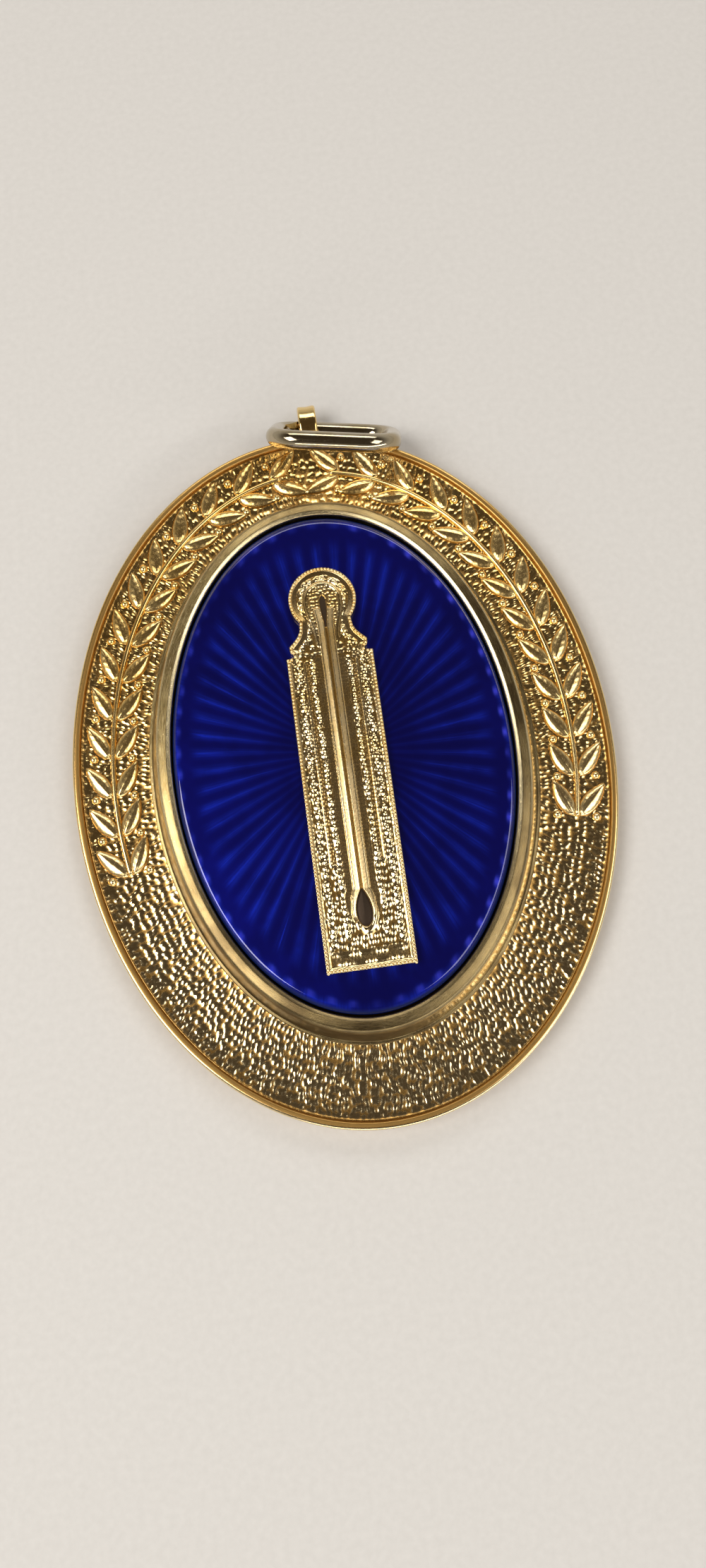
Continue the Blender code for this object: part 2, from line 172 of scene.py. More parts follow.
# %% Round a corner
def round_corner(before, corner, after, radius, steps=4):
    """Points of a rounded corner between two straight sides."""
    corner = Vector(corner)
    start = corner + (Vector(before) - corner).normalized() * radius
    end = corner + (Vector(after) - corner).normalized() * radius
    points = []
    for index in range(steps + 1):
        share = index / steps
        points.append(tuple((1 - share) ** 2 * start + 2 * share * (1 - share) * corner + share**2 * end))
    return points


print("a rounded corner has", len(round_corner((0, 0), (1, 0), (1, 1), 0.3)), "points")

# %% Measure the way round an oval
OVAL_STEPS = 2880


def walk_oval(half_width, half_length):
    """Angles round an oval, and the length walked to each of them."""
    angles = np.linspace(0, 2 * np.pi, OVAL_STEPS + 1)
    steps = np.hypot(np.diff(half_width * np.cos(angles)), np.diff(half_length * np.sin(angles)))
    return angles, np.concatenate([[0], np.cumsum(steps)])


def arc_share(points):
    """For points on the oval, the share of the way round, by length, from 0 to 1."""
    half_width, half_length = PLAQUE_HALF_WIDTH, PLAQUE_HALF_WIDTH + STRETCH
    angles, walked = walk_oval(half_width, half_length)
    turn = np.mod(np.arctan2(points[:, 1] / half_length, points[:, 0] / half_width), 2 * np.pi)
    return np.interp(turn, angles, walked / walked[-1])


print(f"the way round the plate is {walk_oval(HALF_WIDTH, HALF_LENGTH)[1][-1]:.1f} mm")

# %% Spin a cross-section and lengthen it
TURN_STEPS = 360


def spin_oval(profile, closed):
    """Turns a profile of (radius, height) about Z, lengthens it to the oval and lays its UV map."""
    bm = bmesh.new()
    row = bm.verts.layers.float.new("row")
    verts = [bm.verts.new((radius, 0, height)) for radius, height in profile]
    pairs = list(zip(verts, verts[1:])) + ([(verts[-1], verts[0])] if closed else [])
    edges = [bm.edges.new(pair) for pair in pairs]
    for index, vert in enumerate(verts):
        vert[row] = index / (len(verts) - 1)
    bmesh.ops.spin(
        bm,
        geom=verts + edges,
        cent=(0, 0, 0),
        axis=(0, 0, 1),
        angle=2 * math.pi,
        steps=TURN_STEPS,
        use_merge=True,
    )
    bmesh.ops.remove_doubles(bm, verts=bm.verts[:], dist=SAME_POINT)
    write_points(bm, oval_points(read_points(bm)))
    lay_turn_map(bm)
    return bm


def lay_turn_map(bm):
    """U is the share of the way round, V the place across the profile."""
    turn_map = bm.loops.layers.uv.new("turn")
    row = bm.verts.layers.float["row"]
    share = arc_share(read_points(bm))
    middle = arc_share(np.array([face.calc_center_median()[:] for face in bm.faces]))
    bm.verts.index_update()
    for face, centre in zip(bm.faces, middle):
        for loop in face.loops:
            vert = loop.vert
            u = share[vert.index]
            if abs(vert.co.x) + abs(vert.co.y) < SAME_POINT:
                u = centre
            elif u - centre > 0.5:
                u -= 1
            elif centre - u > 0.5:
                u += 1
            loop[turn_map].uv = (u, vert[row])


print(f"a step of the spin is {2 * math.pi * HALF_WIDTH / TURN_STEPS:.2f} mm at the plate's edge")

# %% [markdown]
# ## Grains
#
# The ground of a struck border and of a small casting is pebbled: a punch has left close-packed rounded
# grains with sharp valleys between them. They could be a bump in the material, but then they would be flat
# from the side and missing from the mesh, so here they are real. Each grain has a middle that is moved a
# little at random inside its own cell, and a point's height falls with its distance to the nearest middle.

# %% Heights of close-packed grains
GRAIN_ROWS = 64
GRAIN_SHIFT = 0.28
GRAIN_LEAN = 0.4
GRAIN_EXTRA_RADIUS = 0.20
GRAIN_LEAST_SWELL = 0.70
GRAIN_EXTRA_SWELL = 0.30


def grain_heights(along, across, cell_along, cell_across, wrap, seed, bulge=1.0, smallest=0.46):
    """Heights from 0 to 1 of separate grains, in a pattern that closes after `wrap` cells."""
    random = np.random.default_rng(seed)
    cells = (wrap, GRAIN_ROWS)
    shift_u = random.random(cells) * 2 * GRAIN_SHIFT - GRAIN_SHIFT
    shift_v = random.random(cells) * 2 * GRAIN_SHIFT - GRAIN_SHIFT
    radius = smallest + GRAIN_EXTRA_RADIUS * random.random(cells)
    swell = GRAIN_LEAST_SWELL + GRAIN_EXTRA_SWELL * random.random(cells)
    lean_u = random.random(cells) * 2 * GRAIN_LEAN - GRAIN_LEAN
    lean_v = random.random(cells) * 2 * GRAIN_LEAN - GRAIN_LEAN
    u, v = along / cell_along, across / cell_across
    cell_u, cell_v = np.floor(u).astype(int), np.floor(v).astype(int)
    height = np.zeros_like(u)
    for step_u in (-1, 0, 1):
        for step_v in (-1, 0, 1):
            near_u, near_v = cell_u + step_u, cell_v + step_v
            key = (near_u % wrap, near_v % GRAIN_ROWS)
            away_u = u - (near_u + 0.5 + shift_u[key])
            away_v = v - (near_v + 0.5 + shift_v[key])
            tilt = 1 + lean_u[key] * away_u + lean_v[key] * away_v
            dome = swell[key] * tilt * (1 - ((away_u**2 + away_v**2) / radius[key] ** 2) ** bulge)
            height = np.maximum(height, dome)
    return height


sample = grain_heights(np.linspace(0, 50, 4000), np.full(4000, 3.1), 1.0, 1.0, 50, 1)
print(f"grain heights run from {sample.min():.2f} to {sample.max():.2f}")

# %% [markdown]
# ## Finishes
#
# A finish is a small tree of nodes that ends in one Principled shader. Two helpers keep the trees short:
# one makes the empty tree, the other adds a node and fills in its sockets. Numbers that are the same all
# over a surface are typed straight into the shader. Patterns are read from Object coordinates, in metres,
# so a scale of 2000 gives spots half a millimetre wide. Three kinds of helper stand on these two: some read
# a pattern or a place, some do sums with values, and the last lay colours and tilt the surface.


# %% Start a finish and add its nodes
def start_finish(name, **sockets):
    """A new material with one Principled shader, whose plain sockets are set by name."""
    finish = bpy.data.materials.new(name)
    finish.use_nodes = True
    shader = finish.node_tree.nodes["Principled BSDF"]
    for socket, value in sockets.items():
        shader.inputs[socket.replace("_", " ")].default_value = value
    return finish, finish.node_tree, shader


def add_node(tree, kind, sockets=None, **settings):
    """Adds a node, fills in its sockets and links the ones that are given another node's output."""
    node = tree.nodes.new(kind)
    for setting, value in settings.items():
        setattr(node, setting, value)
    for socket, value in (sockets or {}).items():
        if isinstance(value, bpy.types.NodeSocket):
            tree.links.new(value, node.inputs[socket])
        else:
            node.inputs[socket].default_value = value
    return node


print("materials before the first finish:", len(bpy.data.materials))


# %% Read patterns, places and point values
def noise(tree, where, scale, detail=3.0, roughness=0.5):
    sockets = {"Vector": where, "Scale": scale, "Detail": detail, "Roughness": roughness}
    return add_node(tree, "ShaderNodeTexNoise", sockets).outputs["Fac"]


def spots(tree, where, size, detail=3.0, roughness=0.5):
    """Noise whose spots are about `size` millimetres wide."""
    return noise(tree, where, 1 / (size * MM), detail, roughness)


def point_value(tree, name):
    """A number that the mesh carries on its points."""
    return add_node(tree, "ShaderNodeAttribute", attribute_name=name).outputs["Fac"]


def stretched(tree, where, scale):
    return add_node(tree, "ShaderNodeMapping", {"Vector": where, "Scale": scale}).outputs["Vector"]


def object_place(tree):
    return add_node(tree, "ShaderNodeTexCoord").outputs["Object"]


def along_axis(tree, vector, axis):
    return add_node(tree, "ShaderNodeSeparateXYZ", {"Vector": vector}).outputs[axis]


print(f"spots half a millimetre wide need a noise scale of {1 / (0.5 * MM):.0f}")


# %% Do sums with values
def spread(tree, value, low, high, to_low=0.0, to_high=1.0):
    """Maps a value from one range to another, with a soft passage, and stops at both ends."""
    sockets = {"Value": value, "From Min": low, "From Max": high, "To Min": to_low, "To Max": to_high}
    return add_node(tree, "ShaderNodeMapRange", sockets, interpolation_type="SMOOTHSTEP").outputs["Result"]


def combine(tree, operation, first, second=0.0, third=0.0):
    return add_node(tree, "ShaderNodeMath", {0: first, 1: second, 2: third}, operation=operation).outputs[0]


def multiply(tree, first, *others):
    for other in others:
        first = combine(tree, "MULTIPLY", first, other)
    return first


print("sums are done by math nodes, and soft passages by map range nodes")


# %% Lay colours and tilt the surface
def mix_colour(tree, share, first, second):
    node = add_node(tree, "ShaderNodeMix", data_type="RGBA")
    for socket, value in ((0, share), (6, first), (7, second)):
        if isinstance(value, bpy.types.NodeSocket):
            tree.links.new(value, node.inputs[socket])
        elif socket == 0:
            node.inputs[socket].default_value = value
        else:
            node.inputs[socket].default_value = (*value, 1.0)
    return node.outputs[2]


def lay_colours(tree, shader, colour, layers):
    """Lays tints over a colour, each with its own share, and gives the result to the shader."""
    for share, tint in layers:
        colour = mix_colour(tree, share, colour, tint)
    tree.links.new(colour, shader.inputs["Base Color"])


def set_bump(tree, shader, height, depth, strength=1.0):
    """Tilts the surface as if a height of 1 stood `depth` millimetres above a height of 0."""
    sockets = {"Height": height, "Strength": strength, "Distance": depth * MM}
    bump = add_node(tree, "ShaderNodeBump", sockets)
    tree.links.new(bump.outputs["Normal"], shader.inputs["Normal"])


print(f"a bump 0.05 mm deep has a distance of {0.05 * MM:.5f} m")

# %% [markdown]
# ## Old gilt
#
# The border is gilt over struck metal. It is polished, so it shows a sharp picture of its surroundings,
# tinted yellow. Years of handling leave slight clouds and fine rub marks. The lower half is painted paler,
# a painted reflection of pale surroundings. The valleys between the grains are painted browner and duller:
# partly patina where polish never reaches, partly painted shade.
#
# The meshes carry two values for this on their points. "hollow" is 0 on a crest, 1 at the bottom of a
# valley, where the colour is painted browner, partly as patina and partly as painted shade, and up to 2
# where a near-black painted shade is laid. "frost" is 0 on polished metal and 1 where it was left matt.
# The same recipe, with other tints, makes the gold of the cast rule.

# %% Write the recipe of the gilding
DEEP_SHADE = (0.050, 0.036, 0.026)
PALE_REFLECTION_BELOW = -26
FULL_TINT_ABOVE = 8
FINE_SIZE = 0.12
RUB_SIZE = 0.08
SAND_SIZE = 0.11
SAND_DEPTH = 0.018
VALLEY_DULLNESS = 0.14
FROST_DULLNESS = 0.11
DEEP_SHADE_DULLNESS = 0.25


def gilt_finish(name, bright, warm, pale_reflection, hollow, polish, dull, cloud_size, rub_depth):
    """Gold with clouds, rub marks, a painted pale reflection below, hollows painted as shade and patina,
    frost.
    """
    finish, tree, shader = start_finish(name + "_finish", Metallic=1.0)
    place = object_place(tree)
    clouds = spread(tree, spots(tree, place, cloud_size, 4), 0.35, 0.68)
    depth = point_value(tree, "hollow")
    frost = point_value(tree, "frost")
    # Valleys are painted browner, partly as patina and partly as painted shade; above 1.1 a near-black
    # painted shade is laid.
    valley = spread(tree, depth, 0.15, 1.0)
    deep_shade = spread(tree, depth, 1.1, 2.0)
    # Painted reflection: the lower part of the jewel is painted paler, as if it mirrored pale surroundings.
    pale_reflection_share = spread(tree, along_axis(tree, place, "Y"), PALE_REFLECTION_BELOW * MM, FULL_TINT_ABOVE * MM, 1.0, 0.0)
    layers = ((pale_reflection_share, pale_reflection), (valley, hollow), (deep_shade, DEEP_SHADE))
    lay_colours(tree, shader, mix_colour(tree, clouds, bright, warm), layers)

    sheen = spread(tree, spots(tree, place, FINE_SIZE, 5, 0.65), 0.3, 0.75, polish, dull)
    sheen = combine(tree, "MULTIPLY_ADD", valley, VALLEY_DULLNESS, sheen)
    sheen = combine(tree, "ADD", spread(tree, frost, 0.0, 0.55, 0.0, FROST_DULLNESS), sheen)
    sheen = combine(tree, "MULTIPLY_ADD", deep_shade, DEEP_SHADE_DULLNESS, sheen)
    tree.links.new(sheen, shader.inputs["Roughness"])

    rubs = spots(tree, stretched(tree, place, (1, 0.15, 1)), RUB_SIZE, 3, 0.6)
    sand = multiply(tree, spots(tree, place, SAND_SIZE, 2, 0.6), spread(tree, frost, 0.6, 1.0))
    marks = combine(tree, "MULTIPLY_ADD", sand, SAND_DEPTH, multiply(tree, rubs, rub_depth))
    set_bump(tree, shader, marks, 1.0)
    return finish


# The gilt is painted paler below the first height, a painted reflection, and keeps its full tint above the
# second.
print("gilt is worn below", PALE_REFLECTION_BELOW, "mm and fresh above", FULL_TINT_ABOVE, "mm along the jewel")

# %% Make the cast and struck golds
old_gilt = gilt_finish(
    "old_gilt",
    bright=(0.93, 0.70, 0.32),
    warm=(0.88, 0.59, 0.20),
    pale_reflection=(0.92, 0.76, 0.46),
    hollow=(0.56, 0.33, 0.10),
    polish=0.09,
    dull=0.18,
    cloud_size=6.0,
    rub_depth=0.0012,
)
cast_gold = gilt_finish(
    "cast_gold",
    bright=(0.94, 0.76, 0.44),
    warm=(0.88, 0.62, 0.25),
    pale_reflection=(0.93, 0.75, 0.42),
    hollow=(0.42, 0.24, 0.06),
    polish=0.11,
    dull=0.20,
    cloud_size=3.0,
    rub_depth=0.0015,
)
print("golds:", old_gilt.name, cast_gold.name)

# %% [markdown]
# ## Satin gold
#
# The bezel was rubbed with a fine abrasive while it turned, so it is duller and paler than the border, and
# its scratches run along the turn. Noise that is long in U and very short in V gives such scratches. A few
# specks and nicks from wear lie over them.
#
# Both ends and the right side are painted a darker brown as painted shade, while the two edges of the
# crown are painted bright as painted highlights. The steep outer wall is painted a mottled dark as a
# painted dark reflection, and on the right it is painted bright instead, as a painted highlight. The mesh
# says where the wall and the edges are, in "hollow" and in a second value for the bright edges.

# %% Make the satin gold of the bezel
SATIN = (0.52, 0.39, 0.165)
SATIN_SHADE = (0.33, 0.23, 0.085)
SCRATCHED = (0.74, 0.60, 0.34)
SPECKED = (0.85, 0.72, 0.42)
PAINTED_SHADE_BROWN = (0.115, 0.080, 0.038)
HIGHLIGHT_GOLD = (0.90, 0.77, 0.48)
WALL_SHADE_BROWN = (0.12, 0.084, 0.042)
SCRATCHES_ROUND = 90
SCRATCHES_ACROSS = 160
LEAST_SHADED_Y = 8

satin_gold, tree, shader = start_finish("satin_gold_finish", Metallic=1.0)
turn = add_node(tree, "ShaderNodeUVMap", uv_map="turn").outputs["UV"]
place = object_place(tree)
sideways = along_axis(tree, place, "X")
scratches = noise(tree, stretched(tree, turn, (SCRATCHES_ROUND, SCRATCHES_ACROSS, 1)), 1.0, 5, 0.7)
specks = spread(tree, spots(tree, place, 0.25, 2), 0.66, 0.74)
clouds = spread(tree, spots(tree, place, 4.0), 0.35, 0.7)

# Painted dark reflection: the steep outer wall is painted a mottled dark brown, fading out at the right.
wall = point_value(tree, "hollow")
lit_side = spread(tree, sideways, 0.0, 10 * MM, 0.0, 0.95)
patches = spread(tree, spots(tree, place, 1.3, 4, 0.6), 0.35, 0.65, 0.72, 1.0)
wall_shade = multiply(tree, wall, patches, combine(tree, "SUBTRACT", 1.0, lit_side))

# Painted shade: both ends and the right side are painted a darker brown.
lengthwise = combine(tree, "SUBTRACT", along_axis(tree, place, "Y"), LEAST_SHADED_Y * MM)
ends = spread(tree, combine(tree, "ABSOLUTE", lengthwise), 11 * MM, 26 * MM, 0.0, 0.92)
painted_shade = combine(tree, "MAXIMUM", ends, spread(tree, sideways, -2 * MM, 17 * MM, 0.0, 0.88))
painted_shade = multiply(tree, painted_shade, spread(tree, clouds, 0.0, 1.0, 0.75, 1.0))
# Painted highlights: bright gold is painted along the crown's two edges, except at the ends, and on the wall
# at the right.
painted_highlight = multiply(tree, point_value(tree, "painted_highlight"), combine(tree, "SUBTRACT", 1.0, ends))
painted_highlight = combine(tree, "MAXIMUM", painted_highlight, multiply(tree, wall, lit_side))

layers = (
    (spread(tree, scratches, 0.48, 0.68), SCRATCHED),
    (specks, SPECKED),
    (painted_shade, PAINTED_SHADE_BROWN),
    (painted_highlight, HIGHLIGHT_GOLD),
    (wall_shade, WALL_SHADE_BROWN),
)
lay_colours(tree, shader, mix_colour(tree, clouds, SATIN, SATIN_SHADE), layers)
sheen = spread(tree, scratches, 0.3, 0.7, 0.20, 0.35)
sheen = combine(tree, "MULTIPLY_ADD", painted_highlight, -0.10, sheen)
tree.links.new(combine(tree, "MULTIPLY_ADD", wall_shade, 0.15, sheen), shader.inputs["Roughness"])
set_bump(tree, shader, combine(tree, "MULTIPLY_ADD", specks, 0.6, scratches), 0.009)
print("satin gold has", len(tree.nodes), "nodes")

# %% [markdown]
# ## Polished ring gold
#
# The ring's wire is drawn and polished. It is pale, nearly silver where it mirrors a lamp, with very fine
# marks from the draw plate across its shine.

# %% Make the gold of the ring
SILVERY = (0.52, 0.45, 0.33)
YELLOWER = (0.43, 0.35, 0.22)

ring_gold, tree, shader = start_finish("ring_gold_finish", Metallic=1.0)
place = object_place(tree)
marks = spots(tree, place, 0.15, 4, 0.6)
clouds = spread(tree, spots(tree, place, 2.5), 0.35, 0.7)
lay_colours(tree, shader, SILVERY, ((clouds, YELLOWER),))
tree.links.new(spread(tree, marks, 0.3, 0.75, 0.07, 0.17), shader.inputs["Roughness"])
set_bump(tree, shader, marks, 0.003)
print("ring gold has", len(tree.nodes), "nodes")

# %% [markdown]
# ## Cobalt enamel over a sunray engraving
#
# The plaque is metal, engraved on a machine with rays that run out from the middle, then covered with clear
# blue glass. Light goes through the glass, comes back from the engraving and goes out blue, so the rays
# glow, while the glass itself is smooth and has its own clear shine. Here the engraving is a dark blue
# metal whose colour and normal follow the rays, and the glass is the shader's coat, which stays smooth.
# Enamel is lead glass, which mirrors more than window glass, so the coat has a higher IOR.
#
# U on the map counts round the oval, and V is 0 in the middle and 1 at the edge. The rays are a wave in U.
# They end before the edge, where the same wave makes a row of small lobes, then a row of short pale dashes,
# and last comes a paler band where the glass thins over the shoulder.

# %% Make the enamel
DEEP_BLUE = (0.0010, 0.0018, 0.082)
CLEAR_BLUE = (0.0013, 0.0026, 0.112)
RAY_BLUE = (0.004, 0.014, 0.30)
DASH_BLUE = (0.045, 0.055, 0.70)
EDGE_BLUE = (0.006, 0.022, 0.16)
LEAD_GLASS_IOR = 1.65
RAYS = 60
RAY_START = 0.12
RAY_END = 0.87
LOBE_START = 0.945
LOBE_END = 0.990

cobalt_enamel, tree, shader = start_finish("cobalt_enamel_finish", Metallic=0.55, Roughness=0.36)
shader.inputs["Specular IOR Level"].default_value = 0.0
shader.inputs["Coat Weight"].default_value = 1.0
shader.inputs["Coat Roughness"].default_value = 0.03
shader.inputs["Coat IOR"].default_value = LEAD_GLASS_IOR
turn = add_node(tree, "ShaderNodeUVMap", uv_map="turn").outputs["UV"]
place = object_place(tree)
outwards = along_axis(tree, turn, "Y")
wave = combine(tree, "COSINE", multiply(tree, along_axis(tree, turn, "X"), RAYS * 2 * math.pi))
wave = combine(tree, "MULTIPLY_ADD", wave, 0.5, 0.5)
cloud = spots(tree, place, 5.0)
streaks = noise(tree, stretched(tree, turn, (520, 2.2, 1)), 1.0, 4, 0.65)

ragged = combine(tree, "MULTIPLY_ADD", wave, 0.03, outwards)
span = spread(tree, outwards, RAY_START, RAY_END - 0.05, 0.12, 1.0)
span = multiply(tree, span, spread(tree, ragged, RAY_END - 0.02, RAY_END + 0.07, 1.0, 0.0))
ray = multiply(tree, combine(tree, "POWER", wave, 1.7), span, spread(tree, cloud, 0.3, 0.65, 0.35, 1.0))
line = multiply(tree, combine(tree, "POWER", wave, 24.0), spread(tree, streaks, 0.45, 0.75, 0.0, 0.5))
ray = combine(tree, "MULTIPLY_ADD", line, span, ray)
scallop = combine(tree, "MULTIPLY_ADD", wave, 0.018, outwards)
lobe = spread(tree, scallop, LOBE_START, LOBE_END)
lobe = multiply(tree, lobe, spread(tree, cloud, 0.38, 0.58, 0.30, 1.0))
glow = combine(tree, "MULTIPLY_ADD", lobe, 1.15, ray)
glow = multiply(tree, glow, spread(tree, streaks, 0.3, 0.7, 0.45, 1.25))

right = spread(tree, along_axis(tree, place, "X"), 2 * MM, 14 * MM, 0.30, 1.0)
band = spread(tree, outwards, 0.940, 0.956)
band = multiply(tree, band, spread(tree, outwards, 0.966, 0.976, 1.0, 0.0))
dash = multiply(tree, combine(tree, "POWER", wave, 3.0), right, band)
dash = multiply(tree, dash, spread(tree, cloud, 0.36, 0.55, 0.2, 1.0))
layers = (
    (combine(tree, "MINIMUM", glow, 1.0), RAY_BLUE),
    (dash, DASH_BLUE),
    (spread(tree, outwards, 0.976, 0.992), EDGE_BLUE),
)
base = mix_colour(tree, spread(tree, cloud, 0.35, 0.7), DEEP_BLUE, CLEAR_BLUE)
lay_colours(tree, shader, base, layers)
set_bump(tree, shader, combine(tree, "MULTIPLY_ADD", lobe, 0.8, ray), 0.05, 0.4)
print("enamel has", len(tree.nodes), "nodes")

# %% [markdown]
# ## The plate's body
#
# The plate is turned from its cross-section: a flat back, an upright edge, a rim whose corners are rounded,
# a floor that lies just under the pebbled field, and the seat that carries the enamel. The rim's rounded
# edge is polished by wear and keeps its bright gold. Inside it the metal is left matt and its colour is
# painted a darker amber as painted shade, so the two values of the finish rise with the distance in from
# the edge.

# %% Turn the plate's body
RIM_HEIGHT = 3.1
RIM_WIDTH = 0.85
RIM_INSIDE = HALF_WIDTH - RIM_WIDTH
BACK_ROUNDING = 0.3
RIM_ROUNDING = 0.42
RIM_INNER_ROUNDING = 0.22
RIM_SHADE = 1.3
SEAT_RADIUS = HALF_WIDTH - 10.8
SEAT_TOP = PLAQUE_BASE - GAP
FIELD_FLOOR = 1.9

edge_foot = round_corner((HALF_WIDTH - 1, 0), (HALF_WIDTH, 0), (HALF_WIDTH, 1), BACK_ROUNDING)
rim_top = (HALF_WIDTH, RIM_HEIGHT)
edge_top = round_corner((HALF_WIDTH, 2), rim_top, (HALF_WIDTH - 1, RIM_HEIGHT), RIM_ROUNDING, 8)
inner_top, inner_foot = (RIM_INSIDE, RIM_HEIGHT - 0.02), (RIM_INSIDE - 0.2, FIELD_FLOOR)
rim_fall = round_corner((HALF_WIDTH, RIM_HEIGHT - 0.02), inner_top, inner_foot, RIM_INNER_ROUNDING, 5)
profile = [(0, 0), (10, 0), (20, 0), (27, 0), (HALF_WIDTH - 1, 0)] + edge_foot
profile += [(HALF_WIDTH, 1.2), (HALF_WIDTH, 2.2)] + edge_top + rim_fall
profile += [
    inner_foot,
    (SEAT_RADIUS + 1.5, FIELD_FLOOR),
    (SEAT_RADIUS, FIELD_FLOOR + 0.3),
    (SEAT_RADIUS, SEAT_TOP),
    (0, SEAT_TOP),
]
bm = spin_oval(profile, closed=False)
points = read_points(bm)
inset = inset_of(points[:, 0], points[:, 1])
on_rim = points[:, 2] > RIM_HEIGHT - RIM_ROUNDING - 0.01
mark_points(bm, "frost", np.where(on_rim, np.interp(inset, [0.20, 0.45], [0.0, 0.30]), 0.30))
# Painted shade: the colour inside the rim is painted a darker amber.
mark_points(bm, "hollow", np.where(on_rim, np.interp(inset, [0.22, 0.42], [0.1, RIM_SHADE]), 0.75))
finish_piece(bm, "border_shell", old_gilt, "jewel", "old_gilt", "border_plate")

# %% [markdown]
# ## The pebbled field
#
# Between rim and bezel the plate sinks into a shallow channel that was punched all over with a pebbled
# tool. The grains are longer across the border than along it. The tool went in deepest beside the rim and
# most softly at the foot, and the field is painted darker towards the bezel as painted shade.
#
# A flat grid is wrapped round the oval, one side of it on the rim and the other under the bezel. Its points
# are spread by true length, so that grains are the same size at the sides and at the top, and the first and
# last column meet and are merged.

# %% Sink the channel between rim and bezel
FIELD_MIDDLE = 5
CHANNEL = (
    # inset from the plate's edge, height of the channel's floor
    (0.80, RIM_HEIGHT - 0.26),
    (1.20, RIM_HEIGHT - 0.50),
    (1.90, RIM_HEIGHT - 0.63),
    (3.00, RIM_HEIGHT - 0.70),
    (4.20, RIM_HEIGHT - 0.72),
    (6.60, RIM_HEIGHT - 0.72),
    (8.10, RIM_HEIGHT - 0.68),
    (9.00, RIM_HEIGHT - 0.61),
)


def channel_height(inset):
    """Height of the border's floor at a distance in from the plate's edge."""
    return np.interp(inset, *zip(*CHANNEL))


def around_border(share, inset):
    """Points on the border, from a share of the way round and a distance in from the edge."""
    middle = HALF_WIDTH - FIELD_MIDDLE
    angles, walked = walk_oval(middle, middle + STRETCH)
    angle = np.interp(share, walked / walked[-1], angles)
    radius = HALF_WIDTH - inset
    return radius * np.cos(angle), (radius + STRETCH) * np.sin(angle), walked[-1]


print(f"the channel is {RIM_HEIGHT - channel_height(FIELD_MIDDLE):.2f} mm deep in its middle")

# %% Wrap a grid round the border and punch it
FIELD_COLUMNS = 1700
FIELD_ROWS = 54
FIELD_OUTSIDE = 0.95
FIELD_INSIDE = 8.95
FIELD_SEED = 4
GRAIN_ALONG = 0.54
GRAIN_ACROSS = 0.86
GRAIN_HEIGHT = 0.080
PUNCH_START = 0.98
PUNCH_FADE = 0.42

bm = bmesh.new()
bmesh.ops.create_grid(bm, x_segments=FIELD_COLUMNS, y_segments=FIELD_ROWS, size=0.5)
flat = read_points(bm)
share, across = flat[:, 0] + 0.5, flat[:, 1] + 0.5
inset = FIELD_OUTSIDE + (FIELD_INSIDE - FIELD_OUTSIDE) * across
x, y, length = around_border(share, inset)
grains = round(length / GRAIN_ALONG)
turns = share * 2 * np.pi
wander = 0.25 * np.sin(turns * 37 + inset * 1.7) + 0.2 * np.sin(turns * 11 - inset)
bumps = grain_heights(share * grains + wander, inset, 1.0, GRAIN_ACROSS, grains, FIELD_SEED, 0.78)
punched = np.clip((inset - PUNCH_START) / PUNCH_FADE, 0, 1)
relief = np.interp(inset, [1.4, 3.2, 6.0, 8.9], [1.40, 1.15, 1.0, 0.85])
relief *= np.interp(y, [-37, -24], [0.80, 1.0])
height = channel_height(inset) + GRAIN_HEIGHT * relief * punched * (bumps - 0.2)
write_points(bm, np.column_stack([x, y, height]))
# Painted shade: the field is painted darker towards the bezel.
bezel_shade = np.interp(inset, [6.0, 8.9], [0.0, 0.35])
valleys = np.clip(1 - bumps / 0.45, 0, 1)
mark_points(bm, "hollow", (valleys + bezel_shade) * punched + RIM_SHADE * (1 - punched))
bmesh.ops.remove_doubles(bm, verts=bm.verts[:], dist=SAME_POINT)
edges = [edge for edge in bm.edges if edge.is_boundary]
grown = bmesh.ops.extrude_edge_only(bm, edges=edges)["geom"]
skirt = [item for item in grown if isinstance(item, bmesh.types.BMVert)]
for vert in skirt:
    vert.co.z = FIELD_FLOOR - 0.2
skirt_edges = [item for item in grown if isinstance(item, bmesh.types.BMEdge) and item.is_boundary]
bmesh.ops.bridge_loops(bm, edges=skirt_edges)
finish_piece(bm, "border_field", old_gilt, "jewel", "old_gilt", "border_plate")
print(f"{grains} grains round the border, {length:.1f} mm")

# %% [markdown]
# ## The bezel
#
# The bezel is turned like the plate. It has a small bead at its foot, a steep outer wall, a crown that is
# rounded over about two millimetres, and a lip that leans over the enamel. The imported bezel has the same
# sizes in a dozen straight facets. Here each corner of the cross-section is rounded. The wall is marked
# "hollow" for the finish, where it is painted dark as a painted reflection, and the crown's two edges are
# marked for painted highlights.

# %% Turn the bezel
LIP_DROP = 0.31
BEAD_TOP = 0.5
BEAD_ROUNDING = 0.24


def smooth_profile(points, rounds=2):
    """Cuts the corners of an open profile a few times, which leaves a soft curve through it."""
    for _ in range(rounds):
        softened = [points[0]]
        for first, second in zip(points, points[1:]):
            first, second = Vector(first), Vector(second)
            softened += [tuple(first.lerp(second, 0.25)), tuple(first.lerp(second, 0.75))]
        points = softened + [points[-1]]
    return points


